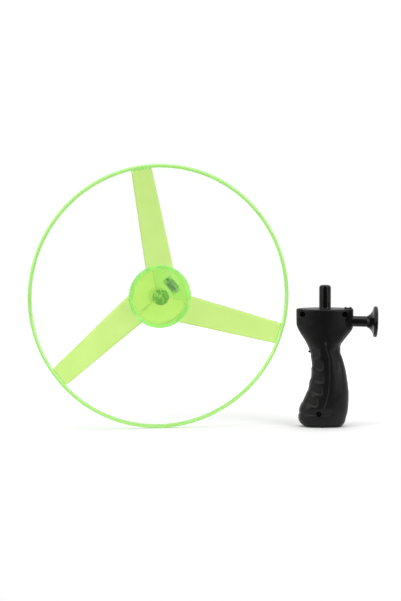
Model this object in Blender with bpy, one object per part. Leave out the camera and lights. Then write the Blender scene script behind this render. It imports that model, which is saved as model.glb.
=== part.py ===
"""Pull-cord flying disc launcher, with its three-bladed disc standing beside it on its rim.

The launcher is a pistol grip in two half shells. A reel on the spindle holds the pull cord, a flat
spiral spring under the reel winds it back, and the disc's hub drops over the keyed end of the spindle.

Metres, +Z up. The origin is on the floor under the spindle, +X points to the pull knob, and -Y to the
side with the screws.
"""

import bmesh
import bpy
from collections import namedtuple
from math import atan2, ceil, cos, hypot, pi, radians, sin, sqrt
from mathutils import Matrix, Vector

MM = 0.001

# Clearances
FIT_GAP = 0.3 * MM
REEL_CLEARANCE = 0.8 * MM

# Spindle
SPINDLE_RADIUS = 5.65 * MM
SPINDLE_HEIGHT = 22.6 * MM
SPINDLE_CROWN_FLAT = 2.6 * MM
SPINDLE_CROWN_RISE = 1.6 * MM
SPINDLE_COLLAR_RADIUS = 6.2 * MM
SPINDLE_COLLAR_HEIGHT = 1.4 * MM
SPINDLE_SHOULDER_RADIUS = 7.6 * MM
SPINDLE_SHOULDER_HEIGHT = 2.0 * MM
SHAFT_RADIUS = 4.0 * MM
FOOT_RADIUS = 2.8 * MM
KEY_COUNT = 3
KEYWAY_WIDTH = 2.6 * MM
KEYWAY_DEPTH = 0.9 * MM

# Pull cord and reel
CORD_DIAMETER = 1.2 * MM
CORD_LAYERS = 2
DRUM_WALL = 2.0 * MM
DRUM_CHANNEL = 8.0 * MM
FLANGE_THICKNESS = 1.3 * MM
FLANGE_RIM = 2.0 * MM

# Recoil spring, its cup and its cover
SPRING_TURNS = 6
SPRING_STRIP = 0.4 * MM
SPRING_PITCH = 0.95 * MM
SPRING_HEIGHT = 5.8 * MM
CUP_WALL = 1.2 * MM
COVER_THICKNESS = 1.1 * MM

# Launcher body
WALL = 2.2 * MM
WEB_THICKNESS = 2.6 * MM
HEAD_TOP = 113.0 * MM
HEAD_LEFT = 27.4 * MM
HEAD_RIGHT = 27.1 * MM
KNOB_DROP = 12.7 * MM
BASE_EDGE_RADIUS = 5.0 * MM
TOP_EDGE_RADIUS = 1.6 * MM
TAB_WIDTH = 14.0 * MM
TAB_REACH = 4.0 * MM

# Grip forms
CREASE_TOP = 79.0 * MM
CREASE_BOTTOM = 15.0 * MM
CREASE_BULGE = 5.0 * MM
CREASE_ENDS_X = 0.3 * MM
CREASE_DEPTH = 1.3 * MM
CREASE_WIDTH = 9.0 * MM
FINGER_GROOVES = 5
FINGER_FIRST = 23.0 * MM
FINGER_PITCH = 11.2 * MM
FINGER_DEPTH = 0.8 * MM
FINGER_REACH_X = -3.0 * MM

# Screws
SCREW_LEFT_X = -21.6 * MM
SCREW_RIGHT_X = 18.3 * MM
SCREW_HEAD_DROP = 4.8 * MM
SCREW_BASE_X = -6.1 * MM
SCREW_BASE_Z = 13.3 * MM
SCREW_RADIUS = 1.1 * MM
SCREW_HEAD_RADIUS = 2.0 * MM
SCREW_HEAD_THICKNESS = 1.5 * MM
SCREW_RECESS = 4.0 * MM
SCREW_BITE = 5.0 * MM
SCREW_CROWN_RADIUS = 1.4 * MM
SCREW_SLOT_LENGTH = 2.4 * MM
SCREW_SLOT_WIDTH = 0.6 * MM
SCREW_SLOT_DEPTH = 0.7 * MM
BOSS_RADIUS = 3.2 * MM

# Knob socket, cord guide and pull knob
SOCKET_RADIUS = 8.4 * MM
SOCKET_DEPTH = 6.3 * MM
SOCKET_WALL = 1.8 * MM
SOCKET_LIP = 2.2 * MM
SOCKET_MOUTH_RADIUS = 5.7 * MM
GUIDE_RADIUS = 3.6 * MM
GUIDE_FLANGE_RADIUS = 5.4 * MM
GUIDE_FLANGE_THICKNESS = 1.4 * MM
STEM_RADIUS = 5.1 * MM
STEM_LENGTH = 16.7 * MM
FLARE_LENGTH = 6.4 * MM
KNOB_RADIUS = 15.0 * MM
KNOB_THICKNESS = 4.2 * MM
FLARE_BEND_OUT = 2.2 * MM
FLARE_BEND_BACK = 1.3 * MM
KNOT_RADIUS = 2.2 * MM
KNOT_END_RADIUS = 1.65 * MM
KNOT_POCKET_DEPTH = 3.6 * MM

# Disc
DISC_RADIUS = 125.7 * MM
DISC_X = -157.8 * MM
DISC_Y = -13.0 * MM
DISC_YAW = radians(11.1)
RIM_THICKNESS = 3.7 * MM
RIM_WIDTH = 4.4 * MM
RIM_SEAT_DEPTH = 0.7 * MM
RIM_SEAT_WIDTH = 3.8 * MM
BLADE_ANGLES = tuple(radians(angle) for angle in (98.5, 218.6, 342.6))
BLADE_THICKNESS = 1.5 * MM
BLADE_ROOT_LEAD = 9.0 * MM
BLADE_ROOT_TRAIL = 18.8 * MM
BLADE_TIP_LEAD = 9.0 * MM
BLADE_TIP_TRAIL = 11.3 * MM
BLADE_ROOT_PITCH = radians(12.0)
BLADE_TIP_PITCH = radians(6.0)
BLADE_ROOT_DROP = 2.3 * MM
HUB_RADIUS = 27.2 * MM
HUB_WALL = 1.6 * MM
HUB_REAR = -5.0 * MM
HUB_FRONT = 4.0 * MM
HUB_FLANGE_EDGE = 0.9 * MM
HUB_FLANGE_THICKNESS = 1.4 * MM
SOCKET_TUBE_WALL = 1.7 * MM
SOCKET_TUBE_REAR = -12.0 * MM
SOCKET_TUBE_DEPTH = 17.0 * MM
DOME_RISE = 8.0 * MM
DOME_WALL = 1.3 * MM
DOME_FLANGE_THICKNESS = 1.3 * MM
DOME_LEDGE = 3.5 * MM
CLIP_ANGLES = tuple(radians(angle) for angle in (103.0, 221.0, 348.0))
CLIP_WIDTH = 6.0 * MM
CLIP_FOOT_WIDTH = 9.0 * MM
CLIP_FOOT_HEIGHT = 1.0 * MM
CLIP_THICKNESS = 1.4 * MM

# Light unit under the dome
LIGHT_ANGLE = radians(39.5)
BOARD_CLEARANCE = 3.6 * MM
BOARD_LENGTH = 17.0 * MM
BOARD_WIDTH = 8.4 * MM
BOARD_THICKNESS = 1.0 * MM
CELL_RADIUS = 3.9 * MM
CELL_THICKNESS = 3.6 * MM
HOLDER_WALL = 0.8 * MM
LED_RADIUS = 1.5 * MM
LED_HEIGHT = 5.0 * MM
SWITCH_RADIUS = 1.5 * MM
SWITCH_HEIGHT = 6.0 * MM

# Facets
BODY_SEGMENTS = 32
BODY_STEP = 3.0 * MM
CAVITY_SEGMENTS = 20
CAVITY_STEP = 7.0 * MM
EDGE_STEPS = 3
ROUND_SEGMENTS = 28
SMALL_SEGMENTS = 12
RIM_SEGMENTS = 72
RIM_SIDES = 8
HUB_SEGMENTS = 40
BLADE_STEPS = 6
BLADE_CHORD_STEPS = 4
SPRING_POINTS_PER_TURN = 16
FLARE_STEPS = 5
DOME_STEPS = 5
FAR = 0.1
# The shells and the rotor have many walls that meet at a slant, where the default solver leaves open edges
SLANT_SOLVER = "MANIFOLD"

# Sizes that follow from those above
CORD_RADIUS = CORD_DIAMETER / 2
DRUM_RADIUS = SHAFT_RADIUS + FIT_GAP + DRUM_WALL
WINDING_RADIUS = DRUM_RADIUS + FIT_GAP + CORD_LAYERS * CORD_DIAMETER
REEL_RADIUS = WINDING_RADIUS + FLANGE_RIM
SPRING_INNER = SHAFT_RADIUS + FIT_GAP + SPRING_STRIP / 2
SPRING_OUTER = SPRING_INNER + SPRING_TURNS * SPRING_PITCH + SPRING_STRIP / 2
CUP_INNER = SPRING_OUTER + FIT_GAP
CUP_RADIUS = CUP_INNER + CUP_WALL
HEAD_HALF_DEPTH = max(CUP_RADIUS, REEL_RADIUS) + REEL_CLEARANCE + WALL

CEILING = HEAD_TOP - WALL
SHOULDER_TOP = CEILING - FIT_GAP
SHOULDER_BOTTOM = SHOULDER_TOP - SPINDLE_SHOULDER_HEIGHT
CORD_Z = HEAD_TOP - KNOB_DROP
DRUM_TOP = SHOULDER_BOTTOM - FIT_GAP
CHANNEL_TOP = CORD_Z + DRUM_CHANNEL / 2
CHANNEL_BOTTOM = CORD_Z - DRUM_CHANNEL / 2
DRUM_BOTTOM = CHANNEL_BOTTOM - FLANGE_THICKNESS
COVER_TOP = DRUM_BOTTOM - FIT_GAP
COVER_BOTTOM = COVER_TOP - COVER_THICKNESS
CUP_TOP = COVER_BOTTOM - FIT_GAP
SPRING_TOP = CUP_TOP - FIT_GAP
SPRING_BOTTOM = SPRING_TOP - SPRING_HEIGHT
CUP_FLOOR = SPRING_BOTTOM - FIT_GAP
CUP_BOTTOM = CUP_FLOOR - CUP_WALL
WEB_TOP = CUP_BOTTOM - FIT_GAP
SPINDLE_FOOT = WEB_TOP + FIT_GAP

SOCKET_FLOOR = HEAD_RIGHT - SOCKET_DEPTH
SOCKET_BACK = SOCKET_FLOOR - WALL
GUIDE_FLANGE_START = SOCKET_FLOOR + FIT_GAP
STEM_START = GUIDE_FLANGE_START + GUIDE_FLANGE_THICKNESS + FIT_GAP
STEM_END = STEM_START + STEM_LENGTH
KNOB_START = STEM_END + FLARE_LENGTH
KNOB_END = KNOB_START + KNOB_THICKNESS
KNOT_FLOOR = KNOB_END - KNOT_POCKET_DEPTH

RIM_RADIUS = DISC_RADIUS - RIM_THICKNESS / 2
RIM_SEAT = DISC_RADIUS - RIM_THICKNESS - RIM_SEAT_DEPTH
BLADE_TIP = RIM_SEAT - FIT_GAP
SOCKET_BORE = SPINDLE_RADIUS + FIT_GAP
SOCKET_TUBE_RADIUS = SOCKET_BORE + SOCKET_TUBE_WALL
SOCKET_END = SOCKET_TUBE_REAR + SOCKET_TUBE_DEPTH
HUB_FLOOR = HUB_REAR + HUB_WALL
HUB_FLANGE_RADIUS = HUB_RADIUS + FIT_GAP + CLIP_THICKNESS + HUB_FLANGE_EDGE
BOARD_CORNER_RADIUS = HUB_RADIUS - HUB_WALL - BOARD_CLEARANCE
LIGHT_DISTANCE = sqrt(BOARD_CORNER_RADIUS ** 2 - (BOARD_LENGTH / 2) ** 2) - BOARD_WIDTH / 2
DOME_BASE_RADIUS = HUB_FLANGE_RADIUS - DOME_LEDGE
DOME_SEAT = HUB_FRONT + FIT_GAP
DOME_SPRING_LINE = DOME_SEAT + DOME_FLANGE_THICKNESS

# Body outline: height, reach to the left and right of the spindle, half depth, and how square the section is
Section = namedtuple("Section", "height left right half_depth squareness")
BODY_SECTIONS = (
    Section(0.0 * MM, 22.2 * MM, 18.6 * MM, 15.0 * MM, 2.6),
    Section(8.0 * MM, 25.2 * MM, 20.3 * MM, 15.2 * MM, 2.6),
    Section(14.0 * MM, 25.2 * MM, 21.9 * MM, 15.2 * MM, 2.5),
    Section(20.0 * MM, 23.4 * MM, 22.6 * MM, 15.1 * MM, 2.4),
    Section(26.0 * MM, 20.7 * MM, 22.9 * MM, 14.9 * MM, 2.3),
    Section(31.5 * MM, 17.8 * MM, 23.0 * MM, 14.7 * MM, 2.3),
    Section(37.0 * MM, 16.1 * MM, 22.5 * MM, 14.5 * MM, 2.3),
    Section(43.0 * MM, 14.7 * MM, 21.8 * MM, 14.2 * MM, 2.3),
    Section(54.0 * MM, 13.0 * MM, 20.0 * MM, 13.8 * MM, 2.3),
    Section(60.0 * MM, 13.0 * MM, 18.5 * MM, 13.6 * MM, 2.3),
    Section(66.0 * MM, 13.4 * MM, 16.7 * MM, 13.4 * MM, 2.3),
    Section(71.5 * MM, 14.8 * MM, 15.0 * MM, 13.5 * MM, 2.3),
    Section(77.0 * MM, 16.4 * MM, 14.9 * MM, 14.0 * MM, 2.3),
    Section(HEAD_TOP - 30.0 * MM, 19.4 * MM, 18.5 * MM, HEAD_HALF_DEPTH, 2.1),
    Section(HEAD_TOP - 24.5 * MM, 23.0 * MM, 22.9 * MM, HEAD_HALF_DEPTH, 1.9),
    Section(HEAD_TOP - 19.0 * MM, 26.0 * MM, HEAD_RIGHT - 0.6 * MM, HEAD_HALF_DEPTH, 1.8),
    Section(HEAD_TOP - 14.5 * MM, HEAD_LEFT - 0.2 * MM, HEAD_RIGHT, HEAD_HALF_DEPTH, 1.8),
    Section(HEAD_TOP, HEAD_LEFT, HEAD_RIGHT, HEAD_HALF_DEPTH, 1.8),
)


# Scene and mesh helpers

def clear_scene():
    """Remove every object of the open scene."""
    for thing in list(bpy.data.objects):
        bpy.data.objects.remove(thing, do_unlink=True)


def plastic(name, colour, roughness, metallic=0.0, transmission=0.0):
    """Principled material with one colour."""
    material = bpy.data.materials.new(name)
    material.use_nodes = True
    shader = material.node_tree.nodes["Principled BSDF"]
    shader.inputs["Base Color"].default_value = (*colour, 1.0)
    shader.inputs["Roughness"].default_value = roughness
    shader.inputs["Metallic"].default_value = metallic
    shader.inputs["Transmission Weight"].default_value = transmission
    material.diffuse_color = (*colour, 1.0)
    return material


def empty(name, location=(0, 0, 0), rotation=(0, 0, 0)):
    """Parent empty that stands on a joint's axis."""
    holder = bpy.data.objects.new(name, None)
    holder.location = location
    holder.rotation_euler = rotation
    bpy.context.collection.objects.link(holder)
    return holder


def add_object(name, shape, material=None, parent=None):
    """Object from a bmesh, with its faces pointing out and its round faces smooth."""
    bmesh.ops.recalc_face_normals(shape, faces=shape.faces)
    mesh = bpy.data.meshes.new(name)
    shape.to_mesh(mesh)
    shape.free()
    mesh.shade_smooth()
    mesh.set_sharp_from_angle(angle=radians(35))
    thing = bpy.data.objects.new(name, mesh)
    bpy.context.collection.objects.link(thing)
    if material:
        mesh.materials.append(material)
    if parent:
        thing.parent = parent
    return thing


def add_cutter(name, shape, parent=None):
    """Object that only shapes others."""
    cutter = add_object(name, shape, parent=parent)
    cutter.hide_render = True
    cutter.display_type = "WIRE"
    return cutter


def combine(thing, operation, tool, solver="EXACT"):
    """Boolean modifier on an object."""
    modifier = thing.modifiers.new(f"{operation.lower()}_{tool.name}", "BOOLEAN")
    modifier.operation = operation
    modifier.solver = solver
    modifier.object = tool


def loft(rings):
    """Closed solid through rings of points, with flat ends."""
    shape = bmesh.new()
    loops = [[shape.verts.new(point) for point in ring] for ring in rings]
    for low, high in zip(loops, loops[1:]):
        for here in range(len(low)):
            following = (here + 1) % len(low)
            shape.faces.new((low[here], low[following], high[following], high[here]))
    shape.faces.new(loops[0])
    shape.faces.new(loops[-1])
    return shape


def turned(profile, segments):
    """Solid turned about Z from (radius, height) points; a profile clear of the axis closes on itself."""
    shape = bmesh.new()
    rings = []
    for radius, height in profile:
        if radius == 0:
            rings.append([shape.verts.new((0, 0, height))])
            continue
        ring = []
        for step in range(segments):
            angle = 2 * pi * step / segments
            ring.append(shape.verts.new((radius * cos(angle), radius * sin(angle), height)))
        rings.append(ring)
    pairs = list(zip(rings, rings[1:]))
    if len(rings[0]) > 1 and len(rings[-1]) > 1:
        pairs.append((rings[-1], rings[0]))
    for low, high in pairs:
        for here in range(segments):
            following = (here + 1) % segments
            corners = [low[here % len(low)], low[following % len(low)]]
            corners += [high[following % len(high)], high[here % len(high)]]
            shape.faces.new(list(dict.fromkeys(corners)))
    return shape


def cylinder(radius, low, high, segments=ROUND_SEGMENTS):
    """Solid cylinder about Z."""
    return turned([(0, low), (radius, low), (radius, high), (0, high)], segments)


def tube(inner, outer, low, high, segments=ROUND_SEGMENTS):
    """Ring about Z."""
    return turned([(inner, low), (outer, low), (outer, high), (inner, high)], segments)


def box(low, high):
    """Box between two corners."""
    shape = bmesh.new()
    bmesh.ops.create_cube(shape, size=1.0)
    size = Vector(high) - Vector(low)
    middle = (Vector(high) + Vector(low)) / 2
    place = Matrix.Translation(middle) @ Matrix.Diagonal((*size, 1))
    bmesh.ops.transform(shape, matrix=place, verts=shape.verts)
    return shape


def moved(shape, matrix):
    """The same shape, placed by a matrix."""
    bmesh.ops.transform(shape, matrix=matrix, verts=shape.verts)
    return shape


ALONG_X = Matrix.Rotation(pi / 2, 4, "Y")
ALONG_Y = Matrix.Rotation(-pi / 2, 4, "X")


def about_z(angle):
    """Turn about the Z axis."""
    return Matrix.Rotation(angle, 4, "Z")


def ease(value):
    """Smooth step from 0 to 1."""
    value = min(max(value, 0.0), 1.0)
    return value * value * (3 - 2 * value)


# Launcher body

def section_slope(column, index):
    """Slope of the smooth curve at one station, flat where the outline turns back."""
    if index in (0, len(BODY_SECTIONS) - 1):
        return 0.0
    before, here, after = BODY_SECTIONS[index - 1:index + 2]
    rise_in = (getattr(here, column) - getattr(before, column)) / (here.height - before.height)
    rise_out = (getattr(after, column) - getattr(here, column)) / (after.height - here.height)
    if rise_in * rise_out <= 0:
        return 0.0
    return 2 * rise_in * rise_out / (rise_in + rise_out)


def section_value(column, height):
    """One measure of the body's section at a height, on a smooth curve through the stations."""
    index = 0
    while index < len(BODY_SECTIONS) - 2 and height > BODY_SECTIONS[index + 1].height:
        index += 1
    low, high = BODY_SECTIONS[index], BODY_SECTIONS[index + 1]
    span = high.height - low.height
    t = min(max((height - low.height) / span, 0.0), 1.0)
    start = getattr(low, column)
    end = getattr(high, column)
    leave = section_slope(column, index) * span
    arrive = section_slope(column, index + 1) * span
    return (
        start * (1 + 2 * t) * (1 - t) ** 2
        + leave * t * (1 - t) ** 2
        + end * t * t * (3 - 2 * t)
        - arrive * t * t * (1 - t)
    )


def section_at(height):
    """The body's section at a height."""
    return Section(height, *(section_value(column, height) for column in Section._fields[1:]))


def surface_depth(x, height):
    """Distance of the body's plain surface from the parting plane."""
    section = section_at(height)
    middle = (section.right - section.left) / 2
    half_width = (section.right + section.left) / 2
    share = min(abs(x - middle) / half_width, 1.0)
    return section.half_depth * (1 - share ** section.squareness) ** (1 / section.squareness)


def crease_depth(x, height):
    """How far the palm side dips beside the crease that runs down the grip."""
    along = (height - CREASE_BOTTOM) / (CREASE_TOP - CREASE_BOTTOM)
    if not 0 < along < 1:
        return 0.0
    line = CREASE_ENDS_X + CREASE_BULGE * sin(pi * along)
    side = (x - line) / CREASE_WIDTH
    if not 0 < side < 1:
        return 0.0
    return CREASE_DEPTH * ease(along) * (1 - ease(side)) * ease((1 - along) * CREASE_WIDTH / FINGER_DEPTH)


def finger_depth(x, height):
    """Depth of the finger grooves round the left of the grip."""
    depth = 0.0
    for groove in range(FINGER_GROOVES):
        away = abs(height - FINGER_FIRST - groove * FINGER_PITCH) / (FINGER_PITCH / 2)
        if away < 1:
            depth += FINGER_DEPTH * (1 - ease(away)) * ease((FINGER_REACH_X - x) / FINGER_PITCH * 2)
    return depth


def body_ring(height, inset, segments, forms):
    """Points of the body's section at a height, drawn in by an inset."""
    section = section_at(height)
    middle = (section.right - section.left) / 2
    half_width = (section.right + section.left) / 2 - inset
    half_depth = section.half_depth - inset
    power = 2 / section.squareness
    ring = []
    for step in range(segments):
        angle = 2 * pi * step / segments
        across, out = cos(angle), sin(angle)
        x = middle + half_width * abs(across) ** power * (1 if across > 0 else -1)
        y = half_depth * abs(out) ** power * (1 if out > 0 else -1)
        if forms:
            y *= 1 - crease_depth(x, height) / section.half_depth
            drawn = 1 - finger_depth(x, height) / hypot(x - middle, y)
            x = middle + (x - middle) * drawn
            y *= drawn
        ring.append((x, y, height))
    return ring


def levels(low, high, step):
    """Even heights from low to high."""
    count = ceil((high - low) / step)
    return [low + (high - low) * index / count for index in range(count + 1)]


def rounded_levels(low, high, low_radius, high_radius, step):
    """Heights and insets of a stack whose bottom and top edges are round."""
    stack = []
    for index in range(EDGE_STEPS):
        turn = pi / 2 * index / EDGE_STEPS
        stack.append((low + low_radius * (1 - cos(turn)), low_radius * (1 - sin(turn))))
    stack += [(height, 0.0) for height in levels(low + low_radius, high - high_radius, step)]
    for index in range(1, EDGE_STEPS + 1):
        turn = pi / 2 * index / EDGE_STEPS
        stack.append((high - high_radius * (1 - sin(turn)), high_radius * (1 - cos(turn))))
    return stack


def body_solid():
    """The whole outside of the body as one solid."""
    stack = rounded_levels(0.0, HEAD_TOP, BASE_EDGE_RADIUS, TOP_EDGE_RADIUS, BODY_STEP)
    return loft([body_ring(height, inset, BODY_SEGMENTS, True) for height, inset in stack])


def screw_places():
    """Name, x and z of each screw."""
    return (
        ("screw_head_left", SCREW_LEFT_X, HEAD_TOP - SCREW_HEAD_DROP),
        ("screw_head_right", SCREW_RIGHT_X, HEAD_TOP - SCREW_HEAD_DROP),
        ("screw_base", SCREW_BASE_X, SCREW_BASE_Z),
    )


def screw_seat(x, z):
    """Distance of a screw head's seat from the parting plane."""
    return surface_depth(x, z) - SCREW_RECESS


def body_cavity():
    """The hollow inside the body, with the bosses, the bearing web and the knob socket left standing."""
    heights = levels(WALL, CEILING, CAVITY_STEP)
    cavity = add_cutter("body_cavity", loft([body_ring(z, WALL, CAVITY_SEGMENTS, False) for z in heights]))
    for name, x, z in screw_places():
        place = Matrix.Translation((x, 0, z)) @ ALONG_Y
        boss = add_cutter(f"boss_{name}", moved(cylinder(BOSS_RADIUS, -FAR, FAR, SMALL_SEGMENTS), place))
        combine(cavity, "DIFFERENCE", boss)
    web = add_cutter("bearing_web", box((-FAR, -FAR, WEB_TOP - WEB_THICKNESS), (FAR, FAR, WEB_TOP)))
    combine(cavity, "DIFFERENCE", web)
    place = Matrix.Translation((0, 0, CORD_Z)) @ ALONG_X
    socket = add_cutter("socket_boss", moved(cylinder(SOCKET_RADIUS + SOCKET_WALL, SOCKET_BACK, FAR), place))
    combine(cavity, "DIFFERENCE", socket)
    return cavity


def build_shells(black):
    """Two half shells that meet at the parting plane, with a locating tab in the base."""
    cavity = body_cavity()
    half_gap = FIT_GAP / 2
    opening = cylinder(SPINDLE_RADIUS + FIT_GAP, CEILING - WALL, HEAD_TOP + WALL)
    spindle_hole = add_cutter("spindle_hole", opening)
    place = Matrix.Translation((0, 0, CORD_Z)) @ ALONG_X
    lip = HEAD_RIGHT - SOCKET_LIP
    profile = [
        (0, SOCKET_FLOOR),
        (SOCKET_RADIUS, SOCKET_FLOOR),
        (SOCKET_RADIUS, lip),
        (SOCKET_MOUTH_RADIUS, lip),
        (SOCKET_MOUTH_RADIUS, FAR),
        (0, FAR),
    ]
    socket = add_cutter("knob_socket", moved(turned(profile, ROUND_SEGMENTS), place))
    guide_hole = add_cutter("guide_hole", moved(cylinder(GUIDE_RADIUS + FIT_GAP, 0, FAR), place))
    tab_low = (-TAB_WIDTH / 2, -TAB_REACH, -WALL)
    tab = add_cutter("tab_space", box(tab_low, (TAB_WIDTH / 2, TAB_REACH, 2 * WALL)))
    notch_low = (-TAB_WIDTH / 2 - FIT_GAP, -TAB_REACH, -2 * WALL)
    notch_high = (TAB_WIDTH / 2 + FIT_GAP, TAB_REACH + FIT_GAP, 3 * WALL)
    notch = add_cutter("tab_notch", box(notch_low, notch_high))
    front_half = add_cutter("front_half", box((-FAR, -FAR, -FAR), (FAR, -half_gap, 2 * FAR)))
    combine(front_half, "UNION", tab)
    rear_half = add_cutter("rear_half", box((-FAR, half_gap, -FAR), (FAR, FAR, 2 * FAR)))
    combine(rear_half, "DIFFERENCE", notch)
    for name, half in (("front_shell", front_half), ("rear_shell", rear_half)):
        shell = add_object(name, body_solid(), black)
        combine(shell, "INTERSECT", half, SLANT_SOLVER)
        for hollow in (cavity, spindle_hole, socket, guide_hole):
            combine(shell, "DIFFERENCE", hollow, SLANT_SOLVER)
        for screw, x, z in screw_places():
            place = Matrix.Translation((x, 0, z)) @ ALONG_Y
            seat = screw_seat(x, z)
            profile = [
                (0, -FAR),
                (SCREW_HEAD_RADIUS + FIT_GAP, -FAR),
                (SCREW_HEAD_RADIUS + FIT_GAP, -seat),
                (SCREW_RADIUS + FIT_GAP, -seat),
                (SCREW_RADIUS + FIT_GAP, SCREW_BITE + FIT_GAP),
                (0, SCREW_BITE + FIT_GAP),
            ]
            hole = add_cutter(f"hole_{screw}_{name}", moved(turned(profile, SMALL_SEGMENTS), place))
            combine(shell, "DIFFERENCE", hole, SLANT_SOLVER)


def build_screws(steel):
    """Pan-head screws, each with a cross recess."""
    for name, x, z in screw_places():
        head_seat = -screw_seat(x, z) - FIT_GAP
        head_top = head_seat - SCREW_HEAD_THICKNESS
        profile = [
            (0, head_top),
            (SCREW_CROWN_RADIUS, head_top),
            (SCREW_HEAD_RADIUS, head_top + SCREW_HEAD_THICKNESS / 2),
            (SCREW_HEAD_RADIUS, head_seat),
            (SCREW_RADIUS, head_seat),
            (SCREW_RADIUS, SCREW_BITE - SCREW_RADIUS),
            (0, SCREW_BITE),
        ]
        place = Matrix.Translation((x, 0, z)) @ ALONG_Y
        screw = add_object(name, moved(turned(profile, SMALL_SEGMENTS), place), steel)
        for long_x, long_y in ((1, 0), (0, 1)):
            reach_x = (SCREW_SLOT_LENGTH if long_x else SCREW_SLOT_WIDTH) / 2
            reach_y = (SCREW_SLOT_LENGTH if long_y else SCREW_SLOT_WIDTH) / 2
            low = (-reach_x, -reach_y, head_top - SCREW_SLOT_DEPTH)
            high = (reach_x, reach_y, head_top + SCREW_SLOT_DEPTH)
            slot = add_cutter(f"{name}_slot_{long_x}", moved(box(low, high), place))
            combine(screw, "DIFFERENCE", slot)


# Reel

def key_angles():
    """Directions of the spindle's keyways: one faces the screws' side."""
    return [-pi / 2 + 2 * pi * index / KEY_COUNT for index in range(KEY_COUNT)]


def build_reel(gloss_black, white, cord):
    """Spindle, drum and wound cord, which turn together."""
    axis = empty("reel_axis")
    collar_bottom = HEAD_TOP + FIT_GAP
    collar_top = collar_bottom + SPINDLE_COLLAR_HEIGHT
    top = HEAD_TOP + SPINDLE_HEIGHT
    profile = [
        (0, SPINDLE_FOOT),
        (FOOT_RADIUS, SPINDLE_FOOT),
        (FOOT_RADIUS, CUP_FLOOR + FIT_GAP),
        (SHAFT_RADIUS, CUP_FLOOR + FIT_GAP),
        (SHAFT_RADIUS, SHOULDER_BOTTOM),
        (SPINDLE_SHOULDER_RADIUS, SHOULDER_BOTTOM),
        (SPINDLE_SHOULDER_RADIUS, SHOULDER_TOP),
        (SPINDLE_RADIUS, SHOULDER_TOP),
        (SPINDLE_RADIUS, collar_bottom),
        (SPINDLE_COLLAR_RADIUS, collar_bottom),
        (SPINDLE_RADIUS, collar_top),
    ]
    for step in range(EDGE_STEPS + 1):
        turn = pi / 2 * step / EDGE_STEPS
        reach = SPINDLE_CROWN_FLAT + (SPINDLE_RADIUS - SPINDLE_CROWN_FLAT) * cos(turn)
        profile.append((reach, top - SPINDLE_CROWN_RISE * (1 - sin(turn))))
    profile.append((0, top))
    spindle = add_object("spindle", turned(profile, ROUND_SEGMENTS), gloss_black, axis)
    for index, angle in enumerate(key_angles()):
        low = (SPINDLE_RADIUS - KEYWAY_DEPTH, -KEYWAY_WIDTH / 2, collar_top)
        keyway = box(low, (2 * SPINDLE_RADIUS, KEYWAY_WIDTH / 2, top + WALL))
        combine(spindle, "DIFFERENCE", add_cutter(f"keyway_{index}", moved(keyway, about_z(angle)), axis))

    bore = SHAFT_RADIUS + FIT_GAP
    profile = [
        (bore, DRUM_BOTTOM),
        (REEL_RADIUS, DRUM_BOTTOM),
        (REEL_RADIUS, CHANNEL_BOTTOM),
        (DRUM_RADIUS, CHANNEL_BOTTOM),
        (DRUM_RADIUS, CHANNEL_TOP),
        (REEL_RADIUS, CHANNEL_TOP),
        (REEL_RADIUS, CHANNEL_TOP + FLANGE_THICKNESS),
        (DRUM_RADIUS, CHANNEL_TOP + FLANGE_THICKNESS),
        (DRUM_RADIUS, DRUM_TOP),
        (bore, DRUM_TOP),
    ]
    add_object("reel_drum", turned(profile, ROUND_SEGMENTS), white, axis)
    winding = tube(DRUM_RADIUS + FIT_GAP, WINDING_RADIUS, CHANNEL_BOTTOM + FIT_GAP, CHANNEL_TOP - FIT_GAP)
    add_object("wound_cord", winding, cord, axis)


# Recoil spring

def spring_strip():
    """Flat strip wound in an even spiral."""
    count = SPRING_TURNS * SPRING_POINTS_PER_TURN
    rings = []
    for index in range(count + 1):
        angle = 2 * pi * index / SPRING_POINTS_PER_TURN
        radius = SPRING_INNER + SPRING_PITCH * index / SPRING_POINTS_PER_TURN
        near = radius - SPRING_STRIP / 2
        far = radius + SPRING_STRIP / 2
        corners = ((near, SPRING_BOTTOM), (far, SPRING_BOTTOM), (far, SPRING_TOP), (near, SPRING_TOP))
        rings.append([(reach * cos(angle), reach * sin(angle), z) for reach, z in corners])
    return loft(rings)


def build_recoil(steel, white):
    """Spiral spring in its cup, under a cover plate."""
    add_object("recoil_spring", spring_strip(), steel)
    profile = [
        (FOOT_RADIUS + FIT_GAP, CUP_BOTTOM),
        (CUP_RADIUS, CUP_BOTTOM),
        (CUP_RADIUS, CUP_TOP),
        (CUP_INNER, CUP_TOP),
        (CUP_INNER, CUP_FLOOR),
        (FOOT_RADIUS + FIT_GAP, CUP_FLOOR),
    ]
    add_object("spring_cup", turned(profile, ROUND_SEGMENTS), white)
    add_object("spring_cover", tube(SHAFT_RADIUS + FIT_GAP, CUP_RADIUS, COVER_BOTTOM, COVER_TOP), white)


# Pull cord and knob

def flare_curve():
    """Radius and place of the knob's trumpet, on a quadratic curve from stem to flange."""
    start = Vector((STEM_RADIUS, STEM_END))
    bend = Vector((STEM_RADIUS + FLARE_BEND_OUT, KNOB_START - FLARE_BEND_BACK))
    end = Vector((KNOB_RADIUS - KNOB_THICKNESS / 2, KNOB_START))
    points = []
    for step in range(FLARE_STEPS + 1):
        t = step / FLARE_STEPS
        points.append(tuple(start * (1 - t) ** 2 + bend * 2 * t * (1 - t) + end * t * t))
    return points


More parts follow.
